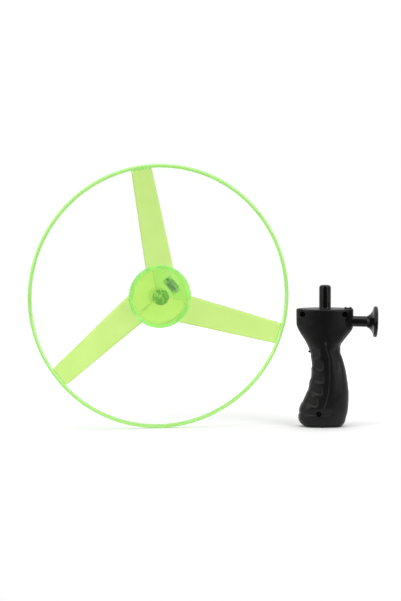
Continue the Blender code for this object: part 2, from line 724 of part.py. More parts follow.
def knob_profile():
    """Stem, trumpet and round-edged flange, with a bore for the cord and a pocket for its knot."""
    bore = CORD_RADIUS + FIT_GAP
    pocket = KNOT_RADIUS + FIT_GAP
    edge = KNOB_THICKNESS / 2
    profile = [(bore, STEM_START), (STEM_RADIUS, STEM_START)]
    profile += flare_curve()
    for step in range(1, 2 * EDGE_STEPS + 1):
        turn = pi * step / (2 * EDGE_STEPS)
        profile.append((KNOB_RADIUS - edge + edge * sin(turn), KNOB_START + edge * (1 - cos(turn))))
    profile += [(pocket, KNOB_END), (pocket, KNOT_FLOOR), (bore, KNOT_FLOOR)]
    return profile


def build_pull(gloss_black, black, cord):
    """Cord guide, knob and the cord from the reel to its knot."""
    place = Matrix.Translation((0, 0, CORD_Z)) @ ALONG_X
    hole = CORD_RADIUS + FIT_GAP
    profile = [
        (hole, SOCKET_BACK - FIT_GAP),
        (GUIDE_RADIUS, SOCKET_BACK - FIT_GAP),
        (GUIDE_RADIUS, GUIDE_FLANGE_START),
        (GUIDE_FLANGE_RADIUS, GUIDE_FLANGE_START),
        (GUIDE_FLANGE_RADIUS, GUIDE_FLANGE_START + GUIDE_FLANGE_THICKNESS),
        (hole, GUIDE_FLANGE_START + GUIDE_FLANGE_THICKNESS),
    ]
    add_object("cord_guide", moved(turned(profile, ROUND_SEGMENTS), place), black)

    run_radius = WINDING_RADIUS + FIT_GAP + CORD_RADIUS
    run_end = Vector((SOCKET_BACK - FIT_GAP, 0, CORD_Z))
    leave = atan2(sqrt(run_end.x ** 2 - run_radius ** 2), run_radius)
    run_start = Vector((run_radius * cos(leave), -run_radius * sin(leave), CORD_Z))
    along = run_end - run_start
    turn = along.to_track_quat("Z", "Y").to_matrix().to_4x4()
    length = along.length - FIT_GAP - CORD_RADIUS
    run = cylinder(CORD_RADIUS, 0, length, SMALL_SEGMENTS)
    add_object("cord_run", moved(run, Matrix.Translation(run_start) @ turn), cord)

    axis = empty("pull_axis", (0, 0, CORD_Z))
    knob = moved(turned(knob_profile(), ROUND_SEGMENTS), ALONG_X)
    add_object("pull_knob", knob, gloss_black, axis)
    knot_start = KNOT_FLOOR + FIT_GAP
    knot_middle = (knot_start + KNOB_END) / 2
    lead = cylinder(CORD_RADIUS, SOCKET_BACK, knot_start - FIT_GAP, SMALL_SEGMENTS)
    add_object("pull_cord", moved(lead, ALONG_X), cord, axis)
    knot_profile = [
        (0, knot_start),
        (KNOT_END_RADIUS, knot_start),
        (KNOT_RADIUS, knot_middle),
        (KNOT_END_RADIUS, KNOB_END - FIT_GAP),
        (0, KNOB_END - FIT_GAP),
    ]
    add_object("cord_knot", moved(turned(knot_profile, SMALL_SEGMENTS), ALONG_X), cord, axis)


# Disc, modelled flat: X to the right, Y up and Z out of its front, then stood up by its parent

def build_rim(green, axis):
    """Round rim with a flat seat inside it for each blade's tip."""
    profile = []
    for side in range(RIM_SIDES):
        angle = 2 * pi * side / RIM_SIDES
        profile.append((RIM_RADIUS + RIM_THICKNESS / 2 * cos(angle), RIM_WIDTH / 2 * sin(angle)))
    rim = add_object("outer_rim", turned(profile, RIM_SEGMENTS), green, axis)
    for index, angle in enumerate(BLADE_ANGLES):
        low = (RIM_SEAT, -BLADE_TIP_TRAIL, -RIM_SEAT_WIDTH / 2)
        seat = box(low, (RIM_RADIUS, BLADE_TIP_LEAD, RIM_SEAT_WIDTH / 2))
        combine(rim, "UNION", add_cutter(f"rim_seat_{index}", moved(seat, about_z(angle)), axis))


def blade_solid():
    """One pitched blade along +X from the hub's round wall to the rim, leading edge to the front."""
    root_radius = HUB_RADIUS - HUB_WALL / 2
    rings = []
    for step in range(BLADE_STEPS + 1):
        share = step / BLADE_STEPS
        lead = BLADE_ROOT_LEAD + (BLADE_TIP_LEAD - BLADE_ROOT_LEAD) * share
        trail = BLADE_ROOT_TRAIL + (BLADE_TIP_TRAIL - BLADE_ROOT_TRAIL) * share
        rise = sin(BLADE_ROOT_PITCH + (BLADE_TIP_PITCH - BLADE_ROOT_PITCH) * share)
        drop = BLADE_ROOT_DROP * (1 - share)
        front, back = [], []
        for part in range(BLADE_CHORD_STEPS + 1):
            across = -trail + (lead + trail) * part / BLADE_CHORD_STEPS
            root = sqrt(root_radius ** 2 - across ** 2) if step == 0 else root_radius
            reach = root + (BLADE_TIP - root) * share
            middle = (across - (lead - trail) / 2) * rise - drop
            front.append((reach, across, middle + BLADE_THICKNESS / 2))
            back.append((reach, across, middle - BLADE_THICKNESS / 2))
        rings.append(front + back[::-1])
    return loft(rings)


def build_rotor(green, axis):
    """Hub tray, keyed spindle socket and blades in one moulding."""
    flange_back = HUB_FRONT - HUB_FLANGE_THICKNESS
    profile = [
        (SOCKET_BORE, SOCKET_TUBE_REAR),
        (SOCKET_TUBE_RADIUS, SOCKET_TUBE_REAR),
        (SOCKET_TUBE_RADIUS, HUB_REAR),
        (HUB_RADIUS, HUB_REAR),
        (HUB_RADIUS, flange_back),
        (HUB_FLANGE_RADIUS, flange_back),
        (HUB_FLANGE_RADIUS, HUB_FRONT),
        (HUB_RADIUS - HUB_WALL, HUB_FRONT),
        (HUB_RADIUS - HUB_WALL, HUB_FLOOR),
        (SOCKET_TUBE_RADIUS, HUB_FLOOR),
        (SOCKET_TUBE_RADIUS, SOCKET_END + SOCKET_TUBE_WALL),
        (0, SOCKET_END + SOCKET_TUBE_WALL),
    ]
    closed_end = [(0, SOCKET_END), (SOCKET_BORE, SOCKET_END)]
    rotor = add_object("rotor", turned(closed_end + profile, HUB_SEGMENTS), green, axis)
    for index, angle in enumerate(BLADE_ANGLES):
        blade = add_cutter(f"blade_{index}", moved(blade_solid(), about_z(angle)), axis)
        combine(rotor, "UNION", blade, SLANT_SOLVER)
    for index, angle in enumerate(key_angles()):
        half_key = KEYWAY_WIDTH / 2 - FIT_GAP
        low = (SOCKET_BORE - KEYWAY_DEPTH, -half_key, SOCKET_TUBE_REAR + FIT_GAP)
        high = (SOCKET_TUBE_RADIUS - SOCKET_TUBE_WALL / 2, half_key, SOCKET_END + SOCKET_TUBE_WALL / 2)
        key = add_cutter(f"socket_key_{index}", moved(box(low, high), about_z(angle)), axis)
        combine(rotor, "UNION", key, SLANT_SOLVER)
    for index, angle in enumerate(CLIP_ANGLES):
        low = (HUB_RADIUS + FIT_GAP / 2, -CLIP_WIDTH / 2 - FIT_GAP, flange_back - FIT_GAP)
        high = (HUB_FLANGE_RADIUS + WALL, CLIP_WIDTH / 2 + FIT_GAP, HUB_FRONT + WALL)
        notch = add_cutter(f"clip_notch_{index}", moved(box(low, high), about_z(angle)), axis)
        combine(rotor, "DIFFERENCE", notch, SLANT_SOLVER)


def clip_hook():
    """T-shaped hook that hangs from the dome's flange and grips under the hub's."""
    half, half_foot = CLIP_WIDTH / 2, CLIP_FOOT_WIDTH / 2
    foot_top = HUB_FRONT - HUB_FLANGE_THICKNESS - FIT_GAP
    foot_bottom = foot_top - CLIP_FOOT_HEIGHT
    top = DOME_SEAT + DOME_FLANGE_THICKNESS / 2
    right = [(half_foot, foot_bottom), (half_foot, foot_top), (half, foot_top), (half, top)]
    outline = right + [(-across, height) for across, height in reversed(right)]
    inner_side = HUB_RADIUS + FIT_GAP
    sides = (inner_side, inner_side + CLIP_THICKNESS)
    return loft([[(reach, across, height) for across, height in outline] for reach in sides])


def build_dome(green, axis):
    """Domed cover whose hooks drop through the notches of the hub's flange."""
    radius = (DOME_BASE_RADIUS ** 2 + DOME_RISE ** 2) / (2 * DOME_RISE)
    centre = DOME_SPRING_LINE + DOME_RISE - radius
    outer, inner = [], []
    inner_base = DOME_BASE_RADIUS - DOME_WALL
    inner_radius = radius - DOME_WALL
    for step in range(DOME_STEPS + 1):
        share = 1 - step / DOME_STEPS
        reach = DOME_BASE_RADIUS * share
        outer.append((reach, centre + sqrt(radius ** 2 - reach ** 2)))
        reach = inner_base * share
        inner.append((reach, centre + sqrt(inner_radius ** 2 - reach ** 2)))
    profile = inner[::-1] + [(inner_base, DOME_SEAT), (HUB_FLANGE_RADIUS, DOME_SEAT)]
    profile += [(HUB_FLANGE_RADIUS, DOME_SPRING_LINE)] + outer
    dome = add_object("dome_cap", turned(profile, HUB_SEGMENTS), green, axis)
    for index, angle in enumerate(CLIP_ANGLES):
        hook = add_cutter(f"clip_hook_{index}", moved(clip_hook(), about_z(angle)), axis)
        combine(dome, "UNION", hook)


def build_light(board_green, steel, clear, black, axis):
    """Board with two button cells in a cradle, a light and a spin switch."""
    place = about_z(LIGHT_ANGLE) @ Matrix.Translation((LIGHT_DISTANCE, 0, 0))
    bottom = HUB_FLOOR + FIT_GAP
    top = bottom + BOARD_THICKNESS
    board = box((-BOARD_WIDTH / 2, -BOARD_LENGTH / 2, bottom), (BOARD_WIDTH / 2, BOARD_LENGTH / 2, top))
    add_object("light_board", moved(board, place), board_green, axis)

    stack = 2 * CELL_THICKNESS + FIT_GAP
    holder_end = stack / 2 + FIT_GAP + HOLDER_WALL
    holder_floor = top + FIT_GAP
    cell_bottom = holder_floor + HOLDER_WALL + FIT_GAP
    cell_middle = cell_bottom + CELL_RADIUS
    holder = box((-CELL_RADIUS, -holder_end, holder_floor), (CELL_RADIUS, holder_end, cell_middle))
    cradle = add_object("cell_holder", moved(holder, place), black, axis)
    room_low = (-2 * CELL_RADIUS, -holder_end + HOLDER_WALL, holder_floor + HOLDER_WALL)
    room = box(room_low, (2 * CELL_RADIUS, holder_end - HOLDER_WALL, 2 * cell_middle))
    combine(cradle, "DIFFERENCE", add_cutter("cell_room", moved(room, place), axis))
    lie_along = Matrix.Translation((0, 0, cell_middle)) @ ALONG_Y
    for name, side in (("cell_inner", -1), ("cell_outer", 1)):
        middle = side * (CELL_THICKNESS + FIT_GAP) / 2
        half = CELL_THICKNESS / 2
        cell = cylinder(CELL_RADIUS, middle - half, middle + half, SMALL_SEGMENTS)
        add_object(name, moved(cell, place @ lie_along), steel, axis)

    spare = (BOARD_LENGTH / 2 + holder_end) / 2
    foot = top + FIT_GAP
    crown = foot + LED_HEIGHT - LED_RADIUS
    profile = [(0, foot), (LED_RADIUS, foot)]
    for step in range(EDGE_STEPS):
        turn = pi / 2 * step / EDGE_STEPS
        profile.append((LED_RADIUS * cos(turn), crown + LED_RADIUS * sin(turn)))
    profile.append((0, foot + LED_HEIGHT))
    led = turned(profile, SMALL_SEGMENTS)
    add_object("led", moved(led, place @ Matrix.Translation((0, -spare, 0))), clear, axis)
    switch = cylinder(SWITCH_RADIUS, foot, foot + SWITCH_HEIGHT, SMALL_SEGMENTS)
    add_object("spin_switch", moved(switch, place @ Matrix.Translation((0, spare, 0))), steel, axis)


def main():
    clear_scene()
    black = plastic("matte_black_plastic", (0.018, 0.018, 0.019), 0.55)
    gloss_black = plastic("gloss_black_plastic", (0.012, 0.012, 0.012), 0.28)
    white = plastic("natural_white_plastic", (0.75, 0.74, 0.70), 0.5)
    steel = plastic("bright_steel", (0.62, 0.62, 0.62), 0.3, metallic=1.0)
    cord = plastic("cord_fibre", (0.80, 0.79, 0.74), 0.8)
    green = plastic("fluorescent_green_plastic", (0.50, 0.90, 0.16), 0.3, transmission=0.4)
    pale_green = plastic("pale_green_plastic", (0.66, 0.92, 0.28), 0.35, transmission=0.4)
    board_green = plastic("circuit_board", (0.03, 0.14, 0.06), 0.5)
    clear = plastic("clear_epoxy", (0.9, 0.9, 0.9), 0.15, transmission=0.8)

    build_shells(black)
    build_screws(steel)
    build_reel(gloss_black, white, cord)
    build_recoil(steel, white)
    build_pull(gloss_black, black, cord)

    disc_axis = empty("disc_axis", (DISC_X, DISC_Y, DISC_RADIUS), (pi / 2, 0, DISC_YAW))
    build_rim(green, disc_axis)
    build_rotor(pale_green, disc_axis)
    build_dome(green, disc_axis)
    build_light(board_green, steel, clear, black, disc_axis)


main()
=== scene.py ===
"""Looks of the pull-cord disc launcher and of its disc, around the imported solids.

Metres, +Z up, in the solids' own frame: the origin is on the floor under the spindle, +X points to the
pull knob and -Y to the side with the screws, which the camera sees.
"""

from collections import namedtuple
from math import atan2, ceil, copysign, cos, exp, hypot, pi, radians, sin, sqrt

import bmesh
import bpy
from mathutils import Matrix, Vector


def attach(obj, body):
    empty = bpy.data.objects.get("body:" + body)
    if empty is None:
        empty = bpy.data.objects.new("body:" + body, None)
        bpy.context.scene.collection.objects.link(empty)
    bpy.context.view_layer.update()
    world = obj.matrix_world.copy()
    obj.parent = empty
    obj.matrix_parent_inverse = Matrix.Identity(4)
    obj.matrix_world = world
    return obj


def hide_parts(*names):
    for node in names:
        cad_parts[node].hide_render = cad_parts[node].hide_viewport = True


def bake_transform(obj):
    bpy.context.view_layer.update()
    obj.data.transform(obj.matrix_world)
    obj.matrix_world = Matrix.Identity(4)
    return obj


MM = 0.001

# Camera, with its focal length in pixels and the point in the picture's middle
PICTURE_HEIGHT = 601
FOCAL_PIXELS = 3150.0
SENSOR = 36.0
VIEW_DISTANCE = 3.0
VIEW_ANGLE = radians(5.0)
VIEW_POINT = Vector((-118.6, 0.0, 120.6)) * MM

# White, and the surround's light on the camera's side and behind the object, over a span of Y
WHITE = (1, 1, 1, 1)
SURROUND_LIGHT = (0.07, 1.0)
LIGHT_SPAN = (-1.0, 0.8)

# Floor: a round sheet set back from its middle point, from which its glow grows
FLOOR_MIDDLE = Vector((-115.0, 0.0, 0.0)) * MM
FLOOR_RADIUS = 560.0 * MM
FLOOR_BACK = 450.0 * MM
FLOOR_CLEAR = 120.0 * MM
FLOOR_GLOW = (0.01, 0.5)
FLOOR_TONES = ((0.88, 0.88, 0.88), (0.90, 0.90, 0.90))
FLOOR_TONE_SCALE = 4.0
FLOOR_ROUGHNESS = 0.9
FLOOR_SHINE = 0.1

# Soft boxes: name, place and size in metres, and power in watts
SOFT_BOXES = (
    ("left_box", (-1.1, -0.7, 0.7), (0.7, 1.2), 7.0),
    ("right_box", (0.95, -0.85, 0.75), (0.7, 1.2), 9.0),
    ("top_box", (-0.05, -0.1, 1.5), (1.4, 1.0), 9.0),
)

# Materials: the span of a noise's values that is used, and scales per metre
NOISE_SPAN = (0.3, 0.7)
DRIFT_SCALE = 70.0
DRIFT_DETAIL = 3.0
SHEEN_SCALE = 210.0
FLOW_SCALE = 55.0
GLOSS_SCALE = 160.0
BRAID_SCALE = 420.0
BRAID_DISTORTION = 1.5
BRAID_SPAN = (0.2, 0.8)
BRAID_DEPTH = 0.12 * MM
FUZZ_SCALE = 900.0
FUZZ_ROUGHNESS = (0.7, 0.9)

# Clearances and walls of the solids, and a reach past the launcher
FIT_GAP = 0.3 * MM
TOUCH_GAP = 0.03 * MM
WALL = 2.2 * MM
FAR = 0.1

# Launcher body
HEAD_TOP = 113.0 * MM
HEAD_LEFT = 27.4 * MM
HEAD_RIGHT = 27.1 * MM
HEAD_HALF_DEPTH = 14.9 * MM
CORD_Z = 100.3 * MM
BASE_EDGE_RADIUS = 5.0 * MM
TOP_EDGE_RADIUS = 1.4 * MM
TAB_WIDTH = 14.0 * MM
TAB_REACH = 4.0 * MM
LAP_INSET = 1.2 * MM
LAP_REACH = 1.5 * MM
WEB_TOP = 85.4 * MM
WEB_THICKNESS = 2.6 * MM
SOCKET_RADIUS = 8.4 * MM
SOCKET_DEPTH = 6.3 * MM
SOCKET_WALL = 1.8 * MM
SOCKET_MOUTH_GAP = 0.2 * MM
SOCKET_FLOOR = HEAD_RIGHT - SOCKET_DEPTH
SOCKET_BACK = SOCKET_FLOOR - WALL
SPINDLE_HOLE = 5.95 * MM

# Body outline: height, reach to the left and right of the spindle, half depth, and how square it is
Section = namedtuple("Section", "height left right half_depth squareness")
GRIP_SECTIONS = tuple(
    Section(*(size * MM for size in sizes), squareness)
    for *sizes, squareness in (
        (0.0, 22.2, 18.6, 15.0, 2.6),
        (8.0, 25.2, 20.3, 15.2, 2.6),
        (14.0, 25.2, 21.9, 15.2, 2.5),
        (20.0, 23.4, 22.6, 15.1, 2.4),
        (26.0, 20.7, 22.9, 14.9, 2.3),
        (31.5, 17.8, 23.0, 14.7, 2.3),
        (37.0, 16.1, 22.5, 14.5, 2.3),
        (43.0, 14.7, 21.8, 14.2, 2.3),
        (54.0, 13.0, 20.0, 13.8, 2.3),
        (60.0, 13.0, 18.5, 13.6, 2.3),
        (66.0, 13.4, 16.7, 13.4, 2.3),
        (71.5, 14.8, 15.0, 13.5, 2.3),
        (77.0, 16.4, 14.9, 14.0, 2.3),
    )
)
HEAD_SECTIONS = (
    Section(HEAD_TOP - 30.0 * MM, 19.4 * MM, 18.5 * MM, HEAD_HALF_DEPTH, 2.1),
    Section(HEAD_TOP - 24.5 * MM, 23.0 * MM, 22.9 * MM, HEAD_HALF_DEPTH, 1.9),
    Section(HEAD_TOP - 19.0 * MM, 26.0 * MM, HEAD_RIGHT - 0.6 * MM, HEAD_HALF_DEPTH, 1.8),
    Section(HEAD_TOP - 14.5 * MM, HEAD_LEFT - 0.2 * MM, HEAD_RIGHT, HEAD_HALF_DEPTH, 1.8),
    Section(HEAD_TOP, HEAD_LEFT, HEAD_RIGHT, HEAD_HALF_DEPTH, 1.8),
)
BODY_SECTIONS = GRIP_SECTIONS + HEAD_SECTIONS

# Ridge down the grip, as (x, z)
RIDGE = tuple(
    Vector(point) * MM
    for point in ((-2.8, 15.8), (0.5, 23.4), (3.4, 36.9), (4.1, 51.2), (3.4, 65.4), (0.5, 76.8))
)
RIDGE_RISE = 0.8 * MM
RIDGE_WIDTH = 0.42 * MM
RIDGE_FADE_IN = 6.0 * MM
RIDGE_PAST_TOP = 2.0 * MM
RIDGE_FADE_OUT = 3.0 * MM

# Palm facet to the right of the ridge
FACET_TOP = 78.5 * MM
FACET_FADE = 6.0 * MM
FACET_DEPTH = 1.4 * MM
FACET_START = 2.8 * MM
FACET_WIDTH = 6.0 * MM
FACET_BACK = 5.0 * MM

# Finger scoops, as (height of the lower lip, right end)
FINGERS = tuple(
    Vector(point) * MM for point in ((66.0, -4.2), (54.0, -1.1), (41.9, -0.6), (30.4, -1.6), (19.1, -6.2))
)
FINGER_HEIGHT = 10.5 * MM
FINGER_DEPTH = 2.2 * MM
FINGER_CORNER = 3.8 * MM
FINGER_EDGE = 2.6 * MM
FINGER_SLOPE = 0.2
FINGER_END_SHARE = 0.4
FINGER_END_REACH = 7.0 * MM

# Dot above the ridge
DOT_X = 0.1 * MM
DOT_Z = 80.6 * MM
DOT_WIDTH = 0.7 * MM
DOT_LENGTH = 1.2 * MM
DOT_RISE = 1.6 * MM

# Ledge at the foot
LEDGE_HEIGHT = 11.2 * MM
LEDGE_WIDTH = 1.5 * MM
LEDGE_DEPTH = 1.0 * MM
LEDGE_REACH = 8.0 * MM
LEDGE_FADE_START = 4.0 * MM
LEDGE_FADE = 6.0 * MM

# Dish beside the knob
DISH_X = 27.0 * MM
DISH_Z = 102.4 * MM
DISH_REACH = 7.7 * MM
DISH_HEIGHT = 9.6 * MM
DISH_FLOOR = 5.7 * MM
DISH_EDGE = 0.14

# Nub on the left, below the head
NUB_Z = 71.7 * MM
NUB_HALF = 1.1 * MM
NUB_RISE = 1.6 * MM
NUB_EDGE = 0.35 * MM

# Ribs across the right end of the head's top, as (x, rise)
LIP_RIBS = ((19.7 * MM, 1.4 * MM), (22.0 * MM, 0.9 * MM), (24.3 * MM, 1.4 * MM))
LIP_RADIUS = 1.3 * MM
LIP_LENGTH = 6.4 * MM
LIP_ROUND = 0.6 * MM

# Points and rings of the body, with spans of height as (from, to, step)
BODY_SEGMENTS = 280
BODY_SPANS = tuple(
    tuple(value * MM for value in span)
    for span in (
        (5.0, 10.2, 0.9),
        (10.2, 12.2, 0.16),
        (12.2, 82.2, 0.5),
        (82.2, 92.0, 1.2),
        (92.0, 111.4, 0.6),
    )
)
EDGE_STEPS = 6
CAVITY_SEGMENTS = 40
CAVITY_STEP = 4.0 * MM

# Screws: name, x and z
SCREWS = (
    ("screw_head_left", -21.6 * MM, 108.2 * MM),
    ("screw_head_right", 18.3 * MM, 108.2 * MM),
    ("screw_base", -6.1 * MM, 13.3 * MM),
)
SCREW_RADIUS = 1.1 * MM
SCREW_HEAD_RADIUS = 2.0 * MM
SCREW_HEAD_THICKNESS = 1.5 * MM
SCREW_CROWN_RADIUS = 1.4 * MM
SCREW_RECESS = 4.0 * MM
SCREW_BITE = 5.0 * MM
SCREW_SLOT_LENGTH = 2.4 * MM
SCREW_SLOT_WIDTH = 0.6 * MM
SCREW_SLOT_DEPTH = 0.7 * MM
BOSS_RADIUS = 3.2 * MM

# Spindle
SPINDLE_FOOT = 85.7 * MM
SPINDLE_TOP = 135.6 * MM
SPINDLE_RADIUS = 5.65 * MM
CROWN_FLAT = 2.0 * MM
CROWN_RISE = 2.4 * MM
COLLAR_RADIUS = 6.2 * MM
COLLAR_HEIGHT = 1.4 * MM
SHOULDER_RADIUS = 7.6 * MM
SHOULDER_TOP = 110.5 * MM
SHOULDER_HEIGHT = 2.0 * MM
SHAFT_RADIUS = 4.0 * MM
FOOT_RADIUS = 2.8 * MM
FOOT_TOP = 87.2 * MM
KEY_COUNT = 3
KEYWAY_WIDTH = 2.6 * MM
KEYWAY_DEPTH = 0.9 * MM

# Pull knob and its knot
STEM_LENGTH = 16.7 * MM
STEM_RADIUS = 5.1 * MM
FLARE_LENGTH = 6.4 * MM
FLARE_BEND_OUT = 2.2 * MM
FLARE_BEND_BACK = 1.3 * MM
KNOB_RADIUS = 15.0 * MM
KNOB_THICKNESS = 4.2 * MM
KNOB_DROOP = radians(1.4)
KNOT_RADIUS = 2.2 * MM
KNOT_POCKET_DEPTH = 3.6 * MM
KNOT_FULLNESS = 0.7

# Cord guide, and what lines up on it along X
GUIDE_RADIUS = 3.6 * MM
GUIDE_FLANGE_RADIUS = 5.4 * MM
GUIDE_FLANGE_THICKNESS = 1.4 * MM
GUIDE_FLANGE_START = SOCKET_FLOOR + FIT_GAP
GUIDE_FLANGE_END = GUIDE_FLANGE_START + GUIDE_FLANGE_THICKNESS
STEM_START = GUIDE_FLANGE_END + FIT_GAP
STEM_END = STEM_START + STEM_LENGTH
KNOB_START = STEM_END + FLARE_LENGTH
KNOB_END = KNOB_START + KNOB_THICKNESS
KNOT_FLOOR = KNOB_END - KNOT_POCKET_DEPTH

# Cord, with its turns on the drum a little thinner so that they lie clear of each other
CORD_RADIUS = 0.6 * MM
WOUND_CORD_RADIUS = 0.97 * CORD_RADIUS
CORD_LAYERS = 2
CORD_TURNS = 6
DRUM_RADIUS = 6.3 * MM
WINDING_RADIUS = 9.0 * MM
WINDING_POINTS = 28
CORD_SIDES = 8
CORD_RINGS = 60

# Disc, modelled flat with X to the right, Y up and Z out of its front, then stood up by DISC_PLACE
DISC_RADIUS = 125.7 * MM
DISC_MIDDLE = Vector((-157.8, -13.0, 125.7)) * MM
DISC_YAW = radians(11.1)

# Rim, with a seat for each blade's tip
RIM_THICKNESS = 3.7 * MM
RIM_WIDTH = 4.4 * MM
RIM_SEAT_DEPTH = 0.7 * MM
RIM_SEAT_FADE = 1.0 * MM
RIM_SEAT_HALF_ANGLE = pi / 8
RIM_SEGMENTS = 360
RIM_SIDES = 16
RIM_RADIUS = DISC_RADIUS - RIM_THICKNESS / 2
RIM_SEAT = DISC_RADIUS - RIM_THICKNESS - RIM_SEAT_DEPTH

# Blades
BLADE_TIP = RIM_SEAT - TOUCH_GAP
BLADE_ANGLES = tuple(radians(angle) for angle in (98.5, 218.6, 342.6))
BLADE_THICKNESS = 1.5 * MM
BLADE_ROOT_LEAD = 9.0 * MM
BLADE_ROOT_TRAIL = 18.8 * MM
BLADE_TIP_LEAD = 9.0 * MM
BLADE_TIP_TRAIL = 11.3 * MM
BLADE_ROOT_PITCH = radians(12.0)
BLADE_TIP_PITCH = radians(6.0)
BLADE_ROOT_DROP = 2.3 * MM
BLADE_STEPS = 24
BLADE_CHORD_STEPS = 16
BLADE_EDGE_STEPS = 4

# Hub tray and its spindle socket
HUB_RADIUS = 27.2 * MM
HUB_WALL = 1.6 * MM
HUB_REAR = -5.0 * MM
HUB_FLOOR = HUB_REAR + HUB_WALL
HUB_FRONT = 4.0 * MM
HUB_FLANGE_RADIUS = 29.8 * MM
HUB_FLANGE_THICKNESS = 1.4 * MM
SOCKET_BORE = 5.95 * MM
SOCKET_TUBE_RADIUS = 7.65 * MM
SOCKET_TUBE_WALL = 1.7 * MM
SOCKET_TUBE_REAR = -12.0 * MM
SOCKET_END = 5.0 * MM
SOCKET_CAP = 9.0 * MM
RIB_THICKNESS = 1.0 * MM
RIB_TOP = 2.0 * MM

# Dome, with a notch in its edge over each clip
DOME_SEAT = HUB_FRONT + FIT_GAP
DOME_FLANGE_THICKNESS = 1.3 * MM
DOME_SPRING_LINE = DOME_SEAT + DOME_FLANGE_THICKNESS
DOME_RISE = 8.0 * MM
DOME_WALL = 1.3 * MM
DOME_BASE_RADIUS = 26.3 * MM
DOME_STEPS = 24
DOME_EDGE = 0.5 * MM
DOME_BAND = 2.6 * MM
NOTCH_WIDTH = 4.6 * MM
NOTCH_DEPTH = 2.0 * MM
CLIP_ANGLES = tuple(radians(angle) for angle in (103.0, 221.0, 348.0))
CLIP_WIDTH = 6.0 * MM
CLIP_FOOT_WIDTH = 9.0 * MM
CLIP_FOOT_HEIGHT = 1.0 * MM
CLIP_THICKNESS = 1.4 * MM

# Facets of round pieces, and an allowance for rounding
ROUND_SEGMENTS = 96
SMALL_SEGMENTS = 32
ROUND_STEPS = 5
SHARP_ANGLE = radians(32)
ROUNDING = 1e-6

# Axes and places
ALONG_X = Matrix.Rotation(pi / 2, 4, "Y")
ALONG_Y = Matrix.Rotation(-pi / 2, 4, "X")
CORD_LINE = Matrix.Translation((0, 0, CORD_Z)) @ ALONG_X
KNOB_PIVOT = Matrix.Translation((KNOB_START, 0, CORD_Z))
KNOB_PLACE = KNOB_PIVOT @ Matrix.Rotation(KNOB_DROOP, 4, "Y") @ KNOB_PIVOT.inverted() @ CORD_LINE
STAND_UP = Matrix.Rotation(DISC_YAW, 4, "Z") @ Matrix.Rotation(pi / 2, 4, "X")
DISC_PLACE = Matrix.Translation(DISC_MIDDLE) @ STAND_UP


# Mesh helpers

def ease(value):
    """Smooth step from 0 to 1."""
    value = min(max(value, 0.0), 1.0)
    return value * value * (3 - 2 * value)


def steps_to(whole, count):
    """Values from 0 to a whole in a count of even steps."""
    return [whole * index / count for index in range(count + 1)]


def even(low, high, step):
    """Even values from low to high, at most a step apart."""
    count = ceil((high - low) / step - ROUNDING)
    return [low + value for value in steps_to(high - low, count)]


def curve(start, end, leave, arrive, t):
    """Smooth curve from start to end, with its slopes at both."""
    return (
        start * (1 + 2 * t) * (1 - t) ** 2
        + leave * t * (1 - t) ** 2
        + end * t * t * (3 - 2 * t)
        - arrive * t * t * (1 - t)
    )


def about_z(angle):
    """Turn about the Z axis."""
    return Matrix.Rotation(angle, 4, "Z")


def moved(shape, matrix):
    """The same shape, placed by a matrix."""
    bmesh.ops.transform(shape, matrix=matrix, verts=shape.verts)
    return shape


def loft(rings, closed=False):
    """Solid through rings of points: a closed loop of rings, or a stack with flat ends."""
    shape = bmesh.new()
    loops = [[shape.verts.new(point) for point in ring] for ring in rings]
    pairs = list(zip(loops, loops[1:]))
    if closed:
        pairs.append((loops[-1], loops[0]))
    for low, high in pairs:
        for here in range(len(low)):
            following = (here + 1) % len(low)
            shape.faces.new((low[here], low[following], high[following], high[here]))
    if not closed:
        shape.faces.new(loops[0])
        shape.faces.new(loops[-1])
    return shape


def turned(profile, segments=ROUND_SEGMENTS):
    """Solid turned about Z from (radius, height) points; a profile clear of the axis closes on itself."""
    shape = bmesh.new()
    rings = []
    angles = steps_to(2 * pi, segments)[:-1]
    for radius, height in profile:
        if radius == 0:
            rings.append([shape.verts.new((0, 0, height))])
            continue
        around = [(radius * cos(angle), radius * sin(angle), height) for angle in angles]
        rings.append([shape.verts.new(point) for point in around])
    pairs = list(zip(rings, rings[1:]))
    if len(rings[0]) > 1 and len(rings[-1]) > 1:
        pairs.append((rings[-1], rings[0]))
    for low, high in pairs:
        for here in range(segments):
            following = (here + 1) % segments
            corners = [low[here % len(low)], low[following % len(low)]]
            corners += [high[following % len(high)], high[here % len(high)]]
            shape.faces.new(list(dict.fromkeys(corners)))
    return shape


def cylinder(radius, low, high, segments=ROUND_SEGMENTS):
    """Solid cylinder about Z."""
    return turned([(0, low), (radius, low), (radius, high), (0, high)], segments)


def box(low, high):
    """Box between two corners."""
    shape = bmesh.new()
    bmesh.ops.create_cube(shape, size=1.0)
    size = Vector(high) - Vector(low)
    middle = (Vector(high) + Vector(low)) / 2
    return moved(shape, Matrix.Translation(middle) @ Matrix.Diagonal((*size, 1)))


def rounded(profile, radius, keep=()):
    """Profile whose corners, apart from those in keep, are rounded."""
    points = []
    for index, point in enumerate(profile):
        corner = Vector(point)
        before = Vector(profile[index - 1])
        after = Vector(profile[(index + 1) % len(profile)])
        if index in keep:
            points.append(tuple(corner))
            continue
        into = (before - corner).normalized() * min(radius, (before - corner).length / 2)
        out = (after - corner).normalized() * min(radius, (after - corner).length / 2)
        for t in steps_to(1, ROUND_STEPS - 1):
            points.append(tuple(corner + into * (1 - t) ** 2 + out * t ** 2))
    return points


